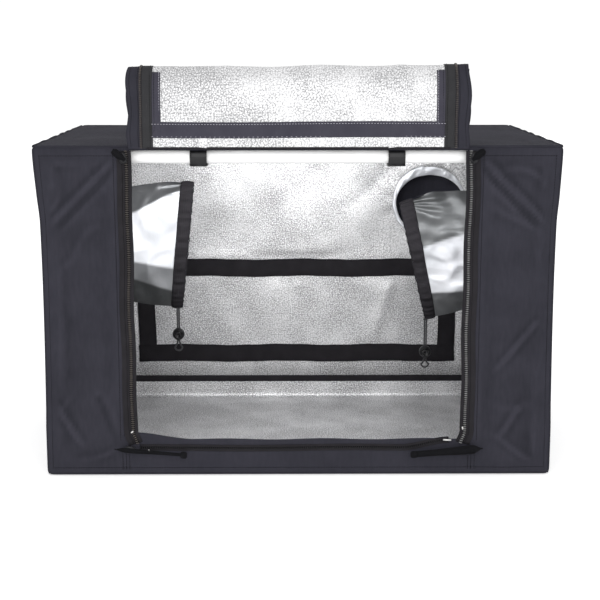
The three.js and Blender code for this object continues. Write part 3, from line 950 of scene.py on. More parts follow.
def bar_grips():
    """A half ring over each top side pole, with a socket for the hanging bar."""
    outer, inner, half = 10.1 * MM, 8.3 * MM, 10 * MM
    angle = np.radians(np.linspace(-29, 209, 40))
    arc = np.stack([np.cos(angle), np.sin(angle)], -1)
    outline = np.concatenate([arc * outer, arc[::-1] * inner])
    for side, sign in (("left", 1), ("right", -1)):  # the sign points inwards
        middle = np.array([-sign * POLE_X, MID, POLE_Z[1]])
        path = middle + np.array([[0, y, 0] for y in np.linspace(-half, half, 7)])
        size = [0.985, 1, 1, 1, 1, 1, 0.985]
        saddle = sweep(path, outline * [-1, 1], side=(1, 0, 0), scale=size)
        profile = socket_profile(outer, inner, 12 * MM, 40 * MM)
        socket = turned([(r, max(h, 9.5 * MM)) for r, h in profile], middle, (sign, 0, 0), sides=40)
        name = f"bar_grip_{side}"
        build(name + "_moulding", [saddle, socket], [DULL_BLACK], "hanging_bar", name)


def pole_clips():
    """Open rings pressed over the front top pole, flared towards their lower lip."""
    middle = 9.6 * MM
    angle = np.radians(np.linspace(42, 318, 56))
    for name in ("pole_clip_left", "pole_clip_right"):
        low, high = (np.array(c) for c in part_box(name))
        centre = (low + high) / 2
        across = np.linspace(-1, 1, 15)
        turn, side = np.meshgrid(angle, across, indexing="ij")
        flare = 1 + 0.1 * ease((turn - 3.6) / 1.2) + 0.05 * ease((2.4 - turn) / 1.2)
        reach = middle + 0.5 * MM * (1 - side**8) + 0.5 * MM * (1 - np.sin(turn / 2)) ** 2
        # the mouth opens towards the back, so turn 180 degrees faces the doorway
        points = np.stack(
            [
                centre[0] + side * 9.4 * MM * flare,
                POLE_Y[0] + reach * np.cos(turn),
                POLE_Z[1] + reach * np.sin(turn),
            ],
            -1,
        )
        ring = grid(points, across * 10 * MM, angle * middle)
        clip = build(name + "_moulding", [ring], [GLOSS_BLACK], "tent", name)
        thicken(clip, 1.5 * MM)
        lips = clip.modifiers.new("lips", "BEVEL")
        lips.width = 0.45 * MM
        lips.segments = 3
        lips.limit_method = "ANGLE"
        lips.angle_limit = math.radians(40)


# ---------------------------------------------------------------- door zip

COIL_X = 196.7 * MM
TAPE_T = 0.8 * MM
FORWARD = (0, -1, 0)


def zip_run(name, path, side, widths, node, finish):
    """One run of zip on the front: two tapes and, over their edges, a coil of teeth on a dark core."""
    outer, inner, coil = widths
    path = np.asarray(path, float)
    heading = unit(np.gradient(path, axis=0))
    normal = np.stack([heading[:, 1], -heading[:, 0]], -1) * side
    chunks = []
    for width, way in ((outer, 1), (inner, -1)):
        strip = on_front(path + normal * way * (coil / 2 + width / 2 - 1 * MM), TAPE_T / 2)
        across = (1, 0, 0) if abs(heading[len(path) // 2, 1]) > 0.5 else (0, 0, 1)
        chunks.append(sweep(strip, rounded(width, TAPE_T, 0.3 * MM), side=across))
    build(name + "_tape", chunks, [BLACK_TAPE], "tent", node)
    points = resample(on_front(path, TAPE_T), 2.5 * MM)
    outward = np.tile(FORWARD, (len(points), 1))
    teeth = copies(bead(1.3 * MM, coil, 1.5 * MM), points, np.gradient(points, axis=0), outward)
    core = sweep(on_front(path, TAPE_T), rounded(coil * 0.9, 0.4 * MM, 0.15 * MM), side=across, finish=1)
    build(name + "_coil", [teeth, core], [finish, BLACK_THREAD])


def zips():
    """Both side runs, a little wavy, and the bottom run, which lifts at its right end."""
    z = np.linspace(40 * MM, 384 * MM, 120)
    for name, sign in (("left", -1), ("right", 1)):
        turn_in = 5 * MM * ease((54 * MM - z) / (16 * MM))
        wave = 0.6 * MM * np.sin(z / (17 * MM) + sign) + 0.4 * MM * np.sin(z / (41 * MM))
        path = np.stack([sign * (COIL_X - turn_in) + wave, z], -1)
        # The right run takes the lighter copy of the coil: a painted highlight.
        coil = COIL if sign < 0 else PAINTED_HIGHLIGHT_COIL
        zip_run(f"zip_{name}", path, sign, (10 * MM, 5 * MM, 3.8 * MM), f"zip_{name}", coil)
        row = np.stack([path[:, 0] + sign * 5 * MM, z], -1)
        rows = [stitches(on_front(row, TAPE_T), FORWARD, pitch=2.6 * MM)]
        build(f"zip_{name}_stitches", rows, [BLACK_THREAD])
    x = np.linspace(-188 * MM, 178 * MM, 130)
    lift = 10 * MM * ease((x - 120 * MM) / (58 * MM)) + 0.6 * MM * np.sin(x / (37 * MM))
    path = np.stack([x, 34 * MM + lift], -1)
    zip_run("zip_bottom", path, 1, (4 * MM, 4 * MM, 2 * MM), "zip_bottom", DULL_BLACK)


def plate(outline, front, back, place, turn, bevel=0.45 * MM):
    """An outline in (x, z), turned and placed, from one depth to another with eased edges."""
    c, s = math.cos(turn), math.sin(turn)
    outline = np.asarray(outline, float) @ np.array([[c, s], [-s, c]])
    depths = [front, front + bevel, back - bevel, back]
    path = [[place[0], y, place[1]] for y in depths]
    shrink = 1 - bevel / np.abs(outline).max()
    return sweep(path, outline, side=(1, 0, 0), scale=[shrink, 1, 1, shrink])


def shield(width, length):
    """A slider's outline from above, nose along +z: wide shoulders and a narrower tail, all rounded."""
    turn = np.linspace(0, np.pi, 12)
    nose = np.stack([0.5 * width * np.cos(turn), 0.12 * length + 0.38 * length * np.sin(turn)], -1)
    tail = np.stack([-0.3 * width * np.cos(turn), -0.34 * length - 0.16 * length * np.sin(turn)], -1)
    return np.concatenate([nose, tail]) * [-1, 1]


def slider(name, turn):
    """A zip slider: two plates over the coil, joined at the nose, and an arched bridge for the pull."""
    low, high = (np.array(c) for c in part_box(name))
    place = ((low + high) / 2)[[0, 2]]
    back = high[1] + 0.6 * MM
    shape = shield(9 * MM, 13 * MM)
    top = plate(shape, back - 2.7 * MM, back - 1.5 * MM, place, turn)
    under = plate(shape * 0.96, back - 0.9 * MM, back - 0.1 * MM, place, turn, 0.25 * MM)
    post = rounded(2.4 * MM, 4 * MM, 1 * MM) + [0, 3.2 * MM]
    diamond = plate(post, back - 1.8 * MM, back - 0.4 * MM, place, turn, 0.2 * MM)
    t = np.linspace(0, np.pi, 13)
    along = 4.4 * MM * np.cos(t)
    rise = back - 2.5 * MM - 1.5 * MM * np.sin(t) ** 0.7
    c, s = math.cos(turn), math.sin(turn)
    arch = np.stack([place[0] - s * along, rise, place[1] + c * along], -1)
    bridge = sweep(arch, rounded(1.8 * MM, 0.8 * MM, 0.35 * MM), side=(c, 0, s))
    build(name + "_body", [top, under, diamond, bridge], [GUNMETAL], name, name)


def strap(path, widths, thick, side):
    """A flat strap whose width changes along its path."""
    thin = rounded(1, thick, thick * 0.45, 2)
    outlines = np.repeat(thin[None], len(path), 0)
    edge = np.sign(thin[:, 0]) * (0.5 - np.abs(thin[:, 0]))
    outlines[:, :, 0] = np.sign(thin[:, 0]) * (np.asarray(widths)[:, None] / 2) - edge
    return sweep(path, outlines, side=side)


def pulls():
    """Short wedges of tape on the upper sliders and long folded straps on the lower ones."""
    for side, sign in (("left", -1), ("right", 1)):
        for kind, reach, tail, turn, widest in (
            ("pull", 15 * MM, 3 * MM, math.radians(90 - 52), 8.4 * MM),
            ("pull_low", 68 * MM, 18 * MM, math.radians(185), 8.2 * MM if sign < 0 else 11 * MM),
        ):
            name = f"{kind}_{side}"
            low, high = (np.array(c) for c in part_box(name))
            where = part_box(f"slider{'_low' if kind == 'pull_low' else ''}_{side}")
            place = ((np.array(where[0]) + np.array(where[1])) / 2)[[0, 2]]
            t = np.linspace(0, 1, 40)
            along = -tail + (reach + tail) * t
            heading = np.array([sign * math.cos(turn), math.sin(turn)])
            middle = (low[1] + high[1]) / 2
            if kind == "pull":
                width = widest * (0.5 + 0.5 * ease(t / 0.5)) * (1 - 0.35 * ease((t - 0.8) / 0.2))
                drop = 0 * t
                bulge = 0.4 * MM * np.sin(np.pi * t)
            else:
                width = widest * (0.1 + 0.9 * ease(t / 0.14)) * (1 - 0.3 * ease((t - 0.2) / 0.5))
                width = width * (1 if sign > 0 else 0.72) * (1 - 0.4 * ease((t - 0.93) / 0.07))
                drop = 0.5 * MM * np.sin(np.pi * t)
                bulge = 0.5 * MM * np.sin(2.4 * np.pi * t)
            x, z = place[0] + heading[0] * along, place[1] + heading[1] * along - drop
            path = np.stack([x, middle - bulge, z], -1)
            across = (-heading[1], 0, heading[0])
            chunks = [strap(path, width, 1.5 * MM, across)]
            if kind == "pull_low":
                # the folded end: a short thick piece over the last 8 mm
                end = path[-1] - [heading[0] * 4 * MM, 0, heading[1] * 4 * MM]
                steps = np.linspace(-4, 4, 9) * MM
                fold = end + np.array([[heading[0] * d, -0.9 * MM, heading[1] * d] for d in steps])
                bulk = 8.6 * MM * np.sqrt(1 - np.linspace(-0.9, 0.9, 9) ** 4)
                chunks.append(strap(fold, bulk, 1.3 * MM, across))
            build(name + "_strap", chunks, [STRAP], name, name)
            rows = []
            for s in (-0.34, 0.34):
                edge = path[4:-4] + np.array(across) * (s * width[4:-4, None]) + [0, -0.75 * MM, 0]
                rows.append(stitches(edge, FORWARD, pitch=2.4 * MM, length=1.6 * MM, width=0.4 * MM))
            build(name + "_stitches", rows, [BLACK_THREAD], name)


def zip_stops():
    """Small bright metal stops where the zip's runs end and meet."""
    chunks = []
    for x, z, turn, width in (
        (-197, 54, 0.9, 3.6), (-178, 31, 0.2, 3), (194, 58, -0.2, 4), (176, 43.5, 1.62, 10),
    ):
        y = float(front_y(x * MM, z * MM)) - 1.4 * MM
        shape = rounded(1.8 * MM, width * MM, 0.8 * MM)
        chunks.append(plate(shape, y - 1.3 * MM, y + 0.5 * MM, (x * MM, z * MM), turn))
    build("zip_stops", chunks, [NICKEL])


# ---------------------------------------------------------------- rolled door

ROLL_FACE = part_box("door_roll")[0].y + 0.4 * MM
ROLL_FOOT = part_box("door_roll")[0].z
ROLL_WIDE = 24 * MM
ROLL_TALL = 46 * MM
ROLL_MIDDLE = 434.5 * MM
ROLL_STEP = 5.5 * MM  # between one turn and the next
DOOR_LENGTH = 355 * MM
DOOR_HALF = 194 * MM
DOOR_TAPE = 165 * MM, 177 * MM  # the inner and outer edge of the zip tape sewn to the door


def roll_profile():
    """Depth and height along the door: straight up from its seam, then a squarish scroll of its length."""
    lead = np.linspace(0, 1, 40)[:-1]
    straight = np.stack([ROLL_FACE + 0 * lead, ROLL_FOOT + (ROLL_MIDDLE - ROLL_FOOT) * lead], -1)
    turn = np.linspace(0, 4 * np.pi, 1600)
    shrink = ROLL_STEP * turn / TURN
    square = 2 / 2.5
    c, s = np.cos(turn), np.sin(turn)
    y = ROLL_FACE + ROLL_WIDE - (ROLL_WIDE - shrink) * np.sign(c) * np.abs(c) ** square
    z = ROLL_MIDDLE + (ROLL_TALL - shrink) * np.sign(s) * np.abs(s) ** square
    path = np.concatenate([straight, np.stack([y, z], -1)])
    reach = lengths(path)
    at = np.linspace(0, DOOR_LENGTH, 190)
    return at, np.stack([np.interp(at, reach, path[:, k]) for k in (0, 1)], -1)


ROLL_AT, ROLL_PATH = roll_profile()
ROLL_HEADING = unit(np.gradient(ROLL_PATH, axis=0))


def door_skin(x, s, lift=0.0):
    """The door's outer face at a distance s from its seam, raised outwards, and the outward direction."""
    x, s = np.broadcast_arrays(np.asarray(x, float), np.asarray(s, float))
    base = np.stack([np.interp(s, ROLL_AT, ROLL_PATH[:, k]) for k in (0, 1)], -1)
    way = unit(np.stack([np.interp(s, ROLL_AT, ROLL_HEADING[:, k]) for k in (0, 1)], -1))
    out = np.stack([-way[..., 1], way[..., 0]], -1)
    free = ease(s / (26 * MM)) * ease((0.31 - s) / 0.05)
    height = 1.3 * MM * waves(x, s, 60, 0.11, lean=0.3) + 0.8 * MM * folds(x, s, 61, 0.09, sharp=0.2)
    height = height + 1.0 * MM * np.exp(-(((s - 37 * MM) / (5 * MM)) ** 2)) * waves(x, s, 63, 0.08)
    height = height * free * ease((DOOR_HALF - np.abs(x)) / (12 * MM)) + lift
    margin = np.clip((np.abs(x) - 176 * MM) / (18 * MM), 0, 2)
    rise = (base[..., 1] - ROLL_FOOT) / (92 * MM)
    wave = 1.6 * MM * np.sin(s / (10.5 * MM) + np.where(x < 0, 0.4, 2.2)) * margin * ease(s / (20 * MM))
    points = np.stack(
        [
            x + np.sign(x) * wave,
            base[..., 0] + out[..., 0] * height + 2.4 * MM * margin**2 * rise,
            base[..., 1] + out[..., 1] * height + 1.6 * MM * rise * x / DOOR_HALF,
        ],
        -1,
    )
    return points, np.stack([0 * x, out[..., 0], out[..., 1]], -1)


def door_strip(x0, x1, s0, s1, thick):
    """A strip of tape that runs up the door between two distances."""
    s = np.linspace(s0, s1, max(8, int((s1 - s0) / (2.5 * MM))))
    path, _ = door_skin((x0 + x1) / 2 + 0 * s, s, thick / 2)
    return sweep(path, rounded(abs(x1 - x0), thick, 0.35 * MM), side=(1, 0, 0))


def door():
    """The door's cloth, rolled with its lining outwards, and all that is sewn to it."""
    inner, outer = DOOR_TAPE
    xs = between(-DOOR_HALF, -outer, -inner, inner, outer, DOOR_HALF, step=3 * MM)
    ss = between(0, DOOR_LENGTH, step=2.6 * MM)
    x, s = np.meshgrid(xs, ss)
    points, _ = door_skin(x, s)
    middle = np.abs((x[:-1, :-1] + x[1:, 1:]) / 2)
    parts = [
        grid(points, xs, ss, keep=middle < inner),
        grid(points, xs, ss, keep=middle > inner, finish=1),
    ]
    finishes = [LINING, CLOTH_FINISH]
    cloth = build("door_cloth", parts, finishes, "door", "door_roll", weld=True)
    thicken(cloth, CLOTH, inside=1)
    tops = ROLL_AT[np.argmax(ROLL_PATH[:, 1])]
    binding_end = tops - 17 * MM
    chunks, coil, white, dark = [], [], [], []
    tooth = bead(1.2 * MM, 3.2 * MM, 1.2 * MM)
    for sign in (-1, 1):
        chunks.append(door_strip(sign * inner, sign * outer, 1 * MM, DOOR_LENGTH, 0.7 * MM))
        s = np.arange(2 * MM, DOOR_LENGTH, 2.1 * MM)
        at, out = door_skin(sign * 178.6 * MM + 0 * s, s, 0.5 * MM)
        coil.append(copies(tooth, at, np.gradient(at, axis=0), out))
        for x0, start, store in ((163.2, 22, dark), (157.6, 30, white)):
            s = np.arange(start * MM, binding_end, 3 * MM)
            at, out = door_skin(sign * x0 * MM + 0 * s, s, 1.1 * MM)
            store.append(stitches(at, out, pitch=2.9 * MM, width=0.5 * MM))
        for x0 in (168, 181.5, 190):
            s = np.arange(4 * MM, tops + 30 * MM, 3 * MM)
            at, out = door_skin(sign * x0 * MM + 0 * s, s, 0.75 * MM if x0 < 177 else 0.05 * MM)
            dark.append(stitches(at, out, pitch=3 * MM, width=0.45 * MM, height=0.3 * MM))
    build("door_zip_tape", chunks, [ZIP_TAPE], "door")
    build("door_zip_coil", coil, [COIL], "door")
    bindings = [
        door_strip(s * 156 * MM, s * 165.4 * MM, 20 * MM, binding_end, 1.1 * MM) for s in (-1, 1)
    ]
    build("door_bindings", bindings, [BAND_TAPE], "door")

    x = np.linspace(-165.4 * MM, 165.4 * MM, 150)
    low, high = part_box("door_band")
    centre = (low.z + high.z) / 2 - ROLL_FOOT
    dip = 0.5 * MM * np.sin(x / (47 * MM))
    path, out = door_skin(x, centre + dip, 0.75 * MM)
    band = sweep(path, rounded(high.z - low.z, 1.2 * MM, 0.45 * MM), side=(0, 0, 1))
    build("door_band_tape", [band], [BAND_TAPE], "door", "door_band")
    for rise, store, pitch in ((6.6, white, 3.3), (-7.6, white, 5.4)):
        path, out = door_skin(x, centre + dip + rise * MM, 1.35 * MM)
        store.append(stitches(path, out, pitch=pitch * MM, length=1.9 * MM, width=0.6 * MM))
    build("door_white_stitches", white, [WHITE_THREAD], "door")
    build("door_dark_stitches", dark, [BLACK_THREAD], "door")

    path, _ = door_skin(np.linspace(-1, 1, 120) * (DOOR_HALF - 22 * MM), 1.2 * MM, 0.2 * MM)
    seam = sweep(path, rounded(2.6 * MM, 1.6 * MM, 0.7 * MM), side=(0, 0, 1))
    build("door_seam", [seam], [BLACK_TAPE], "door")
    tabs = []
    for node, lean in (("pole_clip_left", 1), ("pole_clip_right", -1)):
        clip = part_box(node)
        middle = (clip[0].x + clip[1].x) / 2 + lean * 6 * MM
        s = np.linspace(2 * MM, centre - 7 * MM, 9)
        path, _ = door_skin(middle + lean * 2.4 * MM * (s / centre - 0.4), s, 0.7 * MM)
        tabs.append(sweep(path, rounded(10 * MM, 0.9 * MM, 0.4 * MM), side=(1, 0, 0)))
    build("door_tabs", tabs, [LINING], "door")


# ---------------------------------------------------------------- sleeves inside

SLEEVE_START = SIDE - 1.5 * MM
HEMS = {  # (x, z) at the top and the bottom of each hem
    "left": (np.array([-133.5, 328]) * MM, np.array([-150.5, 168]) * MM),
    "right": (np.array([132, 301]) * MM, np.array([167, 152]) * MM),
}
HEM_BAND = 15 * MM
# How far each sleeve's top edge rises between its hem and its port
TOP_RISE = {"left": 3 * MM, "right": 12 * MM}
# Heights of each sleeve's front folds, as shares of its half height, near the wall and at the hem, and
# how far each fold stands out, as a share of the half depth
FOLDS = {
    "left": [((0.55, 0.9), 0.74), ((-0.22, -0.36), 1.06), ((-0.52, -0.74), 0.8)],
    "right": [((0.36, 0.2), 0.92), ((-0.3, -0.1), 0.74), ((-0.62, -0.55), 1.0)],
}
# Painted shade and painted dark reflection on each facet of a sleeve's front, from the top down: how dark
# each is drawn
PAINTED_FACET_SHADES = {"left": (0.84, 0.1, 0.72, 0.94), "right": (0.93, 0.06, 0.3, 0.86)}


def sleeve_points(side, t, turn, lift=0.0):
    """A tube that is round at its port and flat and folded at its hem.

    Its half height grows with the sine of t and its half depth shrinks evenly. Towards the hem, the front of
    each section changes from a half ellipse to straight lines between the fold heights.
    """
    sign = -1 if side == "left" else 1
    top, foot = HEMS[side]
    t, turn = np.broadcast_arrays(np.asarray(t, float), np.asarray(turn, float))
    start = np.array([sign * SLEEVE_START, MID, SIDE_PORT[1]])
    end = np.array([(top + foot)[0] / 2, MID, (top + foot)[1] / 2])
    half_hem = np.linalg.norm(top - foot) / 2
    lean = np.array([top[0] - foot[0], 0, top[1] - foot[1]]) / (2 * half_hem)
    up = unit((1 - t)[..., None] * np.array([0, 0, 1]) + t[..., None] * lean)
    tall = PORT_R + (half_hem - PORT_R) * np.sin(t * np.pi / 2) ** 0.9
    deep = PORT_R + (11 * MM - PORT_R) * t**0.85
    height = np.cos(turn)
    depth = np.sqrt(np.maximum(1 - height**2, 0))
    folded = ease((t - 0.1) / 0.45)
    knots = [np.ones_like(t)]
    depths = [0 * t]
    for (early, late), reach in FOLDS[side]:
        knots.append(early + (late - early) * ease((t - 0.45) / 0.55))
        depths.append(reach + 0 * t)
    knots.append(-np.ones_like(t))
    depths.append(0 * t)
    facet = 0 * t
    for k in range(len(knots) - 1):
        high, low = knots[k], knots[k + 1]
        share = (high - height) / np.maximum(high - low, 1e-6)
        inside = (height <= high) & (height >= low)
        facet = np.where(inside, depths[k] * (1 - share) + depths[k + 1] * share, facet)
    faces_door = np.sin(turn) * -sign > 0
    front = (1 - folded) * depth + folded * facet
    out = np.where(faces_door, -front, depth) * deep
    flat_x = (1 - t) * start[0] + t * end[0]
    flat_z = (1 - t) * start[2] + t * end[2]
    place_x = flat_x + up[..., 0] * height * tall
    raised = TOP_RISE[side] * ease((1 - t) / 0.26) * ease((t - 0.1) / 0.4) * np.maximum(height, 0)
    place_z = flat_z + up[..., 2] * height * tall + raised
    crumple = 1.5 * MM * folds(place_x, place_z, 70 + sign, 0.045, sharp=0.28)
    crumple = crumple + 0.8 * MM * waves(place_x, place_z, 72 + sign, 0.028)
    rays = np.arctan2(top[1] - place_z, np.abs(place_x - top[0]) + 4 * MM)
    near = np.hypot(place_x - top[0], place_z - top[1])
    fan = 1.5 * MM * np.sin(16 * rays + 2.4 * np.sin(5 * rays))
    fan = fan * np.exp(-((near / 0.055) ** 2)) * ease(near / 0.012)
    relief = (crumple + fan) * ease(t / 0.08) * ease((0.95 - t) / 0.09)
    out = out + np.where(faces_door, -relief, relief * 0.8)
    points = np.stack([place_x, MID + out, place_z], -1)
    if np.any(lift):
        through = np.where(faces_door, -1, 1) * (0.5 + 0.5 * depth)
        away = np.stack([up[..., 0] * height, through, up[..., 2] * height], -1)
        points = points + unit(away) * np.asarray(lift)[..., None]
    return points


def painted_facet_shade(side, t, turn):
    """Painted shade on each facet of a sleeve's front, with soft steps from one to the next."""
    height = np.cos(turn)
    late = ease((t - 0.45) / 0.55)
    shade = PAINTED_FACET_SHADES[side][0] + 0 * height
    for ((early, end), _), tone, before in zip(FOLDS[side], PAINTED_FACET_SHADES[side][1:], PAINTED_FACET_SHADES[side]):
        shade = shade + (tone - before) * ease((early + (end - early) * late - height) / 0.05 + 0.5)
    return shade


def inner_sleeve(side):
    """A silver sleeve and its black gathered hem."""
    name = f"sleeve_{side}"
    sign = -1 if side == "left" else 1
    length = SLEEVE_START - abs((HEMS[side][0] + HEMS[side][1])[0] / 2)
    ts = np.linspace(0, 1, 66)
    turns = np.linspace(0, TURN, 220, endpoint=False)
    columns = np.linspace(0, 0.314, 221)
    t, turn = np.meshgrid(ts, turns, indexing="ij")
    # The facets' painted shade goes into the shade attribute.
    points, shade = sleeve_points(side, t, turn), painted_facet_shade(side, t, turn)
    tube = grid(points, columns, ts * length, around=True, shade=shade)
    piece = build(name + "_cloth", [tube], [SILVER, CLOTH_FINISH], "tent", name)
    thicken(piece, 0.35 * MM, inside=1)

    ts = np.linspace(1 - HEM_BAND / length, 1 + 1 * MM / length, 14)
    t, turn = np.meshgrid(ts, turns, indexing="ij")
    gather = 0.7 * MM * np.sin(turn * 31 + 2 * np.sin(5 * turn)) + 0.4 * MM * np.sin(turn * 53)
    swell = 1.3 * MM * np.sin(np.pi * np.linspace(0, 1, 14)) ** 0.5
    lift = 0.9 * MM + swell[:, None] + gather * swell[:, None] / MM
    band = sleeve_points(side, np.minimum(t, 1), turn, lift)
    band[..., 0] += -sign * (np.maximum(t - 1, 0) * length + 0.5 * gather * ease((t - 0.93) / 0.07))
    hem = grid(band, columns, (ts - 1) * length, around=True)
    cuff = build(name + "_hem", [hem], [BLACK_TAPE])
    thicken(cuff, 1.6 * MM)


def ring_points(centre, normal, across, radius):
    """Points round a circle in a plane, the last equal to the first."""
    turn = np.linspace(0, TURN, 180)[:, None]
    up = np.cross(normal, across)
    return np.array(centre) + radius * (np.cos(turn) * np.array(across) + np.sin(turn) * up)


def port_rings():
    """Outside each port a flat black binding, inside each a gathered silver collar."""
    ports = {
        "left": ((-SIDE, MID, SIDE_PORT[1]), (-1, 0, 0), (0, -1, 0)),
        "right": ((SIDE, MID, SIDE_PORT[1]), (1, 0, 0), (0, 1, 0)),
        "back": ((REAR_PORT[0], BACK, REAR_PORT[1]), (0, 1, 0), (-1, 0, 0)),
    }
    for side, (centre, outward, across) in ports.items():
        outward, centre = np.array(outward, float), np.array(centre, float)
        profile = np.array([(-0.5, -0.3), (7, 0), (7, 0.6), (6.4, 0.9), (0.5, 1.1), (-0.7, 0.6)]) * MM
        profile[:, 0] += PORT_R
        sunk = -1.2 * MM if side == "back" else 0.6 * MM
        ring = turned(profile, centre - outward * sunk, outward, sides=120)
        build(f"port_binding_{side}", [ring], [BLACK_TAPE])
        on_ring = centre + outward * 0.45 * MM
        circles = [ring_points(on_ring, outward, across, PORT_R + r) for r in (2 * MM, 5.4 * MM)]
        rows = [stitches(path, outward, pitch=2.8 * MM) for path in circles]
        build(f"port_stitches_{side}", rows, [BLACK_THREAD])

        # the collar: a soft ring on the wall's inner side, crimped all round
        turn, arc = np.meshgrid(np.linspace(0, TURN, 240, endpoint=False), np.linspace(0, np.pi, 9))
        streak = 0.3 * PORT_R * np.cos(turn), 0.3 * PORT_R * np.sin(turn) + 3 * MM * arc
        crimp = 0.5 * MM * waves(*streak, 76, 7 * MM) + 0.8 * MM * folds(*streak, 77, 5 * MM, sharp=0.3)
        low = 2 * MM + (10 * MM * np.maximum(-np.sin(turn), 0) ** 1.5 if side == "back" else 0)
        flare = (low + 2 * MM) * (1 - np.cos(arc)) / 2 + 1.5 * MM * (arc / np.pi) ** 2
        radius = PORT_R - low + flare + 0.3 * crimp
        height = np.maximum(1.3 * MM + crimp, 0.4 * MM) * np.sin(arc) + 0.3 * MM
        out = -outward
        up = np.cross(out, across)
        points = (
            centre
            - outward * CLOTH
            + radius[..., None] * (np.cos(turn)[..., None] * np.array(across) + np.sin(turn)[..., None] * up)
            + height[..., None] * out
        )
        collar = grid(points, np.linspace(0, 0.33, 241), np.linspace(0, 14 * MM, 9), around=True)
        collar.faces = [f[:, ::-1] for f in collar.faces]
        collar.uv = [u[:, ::-1] for u in collar.uv]
        thicken(build(f"port_collar_{side}", [collar], [SILVER]), 0.5 * MM)


# ---------------------------------------------------------------- sleeve behind

REAR_LENGTH = 0.16  # of the rear sleeve when flat
BACK_RINGS = [  # y and z of the centre, half width, half depth, tilt: from the port down to the hem
    (200.3, 282, 50, 50, 0), (214, 281, 53, 45, 16), (221, 275, 58, 39, 30), (223, 264, 62, 31, 46),
    (222, 250, 66, 23, 62), (219, 232, 70, 18, 78), (217, 210, 74, 15, 90), (216, 180, 75.5, 13.6, 90),
    (216, 150, 76, 13, 90),
]


def back_sleeve_points(t, turn, lift=0.0):
    """Ellipses through the given rings, with folds that gather below the port."""
    rings = np.array(BACK_RINGS) * [MM, MM, MM, MM, math.pi / 180]
    at = np.linspace(0, 1, len(rings))
    y, z, wide, deep, tilt = (np.interp(t, at, rings[:, k]) for k in range(5))
    across = np.cos(turn)
    away = np.sin(turn)
    crumple = 1.3 * MM * folds(across * wide, 0.16 * t, 80, 0.05, sharp=0.25)
    crumple = crumple + 0.8 * MM * waves(across * wide, 0.16 * t + 0.03 * away, 81, 0.03)
    gather = 1.4 * MM * np.sin(9 * turn + 2 * np.sin(3 * turn)) * np.exp(-(((t - 0.4) / 0.2) ** 2))
    relief = (crumple + gather) * ease(t / 0.1) * ease((1 - t) / 0.08 + 0.2)
    deep = np.maximum(deep + relief + lift, 1 * MM)
    wide = wide + lift + 0.3 * relief
    y = MID + y + deep * away * np.sin(tilt)
    z = z + deep * away * np.cos(tilt)
    return np.stack([REAR_PORT[0] + wide * across, y, z], -1)


def outer_sleeve():
    """The rear sleeve, of black cloth, folded down against the wall."""
    ts = np.linspace(0, 1, 74)
    turns = np.linspace(0, -TURN, 200, endpoint=False)
    t, turn = np.meshgrid(ts, turns, indexing="ij")
    columns = np.linspace(0, 0.314, 201)
    tube = grid(back_sleeve_points(t, turn), columns, ts * REAR_LENGTH, around=True)
    finishes = [CLOTH_FINISH, CLOTH_FINISH]
    piece = build("sleeve_back_cloth", [tube], finishes, "tent", "sleeve_back")
    thicken(piece, 0.6 * MM)
    ts = np.linspace(0.905, 1.004, 12)
    t, turn = np.meshgrid(ts, turns, indexing="ij")
    swell = np.sin(np.pi * np.linspace(0, 1, 12)) ** 0.5
    gather = 0.6 * np.sin(turn * 29 + 2 * np.sin(5 * turn))
    band = back_sleeve_points(np.minimum(t, 1), turn, (0.7 + swell[:, None] * (1 + gather)) * MM)
    band[..., 2] -= np.maximum(t - 1, 0) * 0.2
    hem = grid(band, columns, ts * REAR_LENGTH, around=True)
    cuff = build("sleeve_back_hem", [hem], [BLACK_TAPE])
    thicken(cuff, 1.4 * MM)


# ---------------------------------------------------------------- rear vent and tray

FLAP_LOW, FLAP_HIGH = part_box("vent_flap")
TAPE_WIDE = 25 * MM


def flap_y(x, z):
    """Depth of the flap's inner face: nearly flat, with a fold down from its upper tape and swells."""
    edge = np.minimum(FLAP_HIGH.x - np.abs(x), np.minimum(FLAP_HIGH.z - z, z - FLAP_LOW.z))
    inside = ease((edge - TAPE_WIDE) / (14 * MM))
    swell = 0.9 * MM * waves(x, z, 90, 0.12) + 0.5 * MM * folds(x, z, 91, 0.07)
    fold = crease(x, z, (0.004, 0.186), (-0.002, 0.12), 2.2 * MM, 1.0 * MM)
    wide = crease(x, z, (0.134, 0.168), (0.108, 0.078), 9 * MM, -1.6 * MM)
    return FLAP_LOW.y + 0.4 * MM - np.maximum(swell + fold - wide, -0.2 * MM) * inside


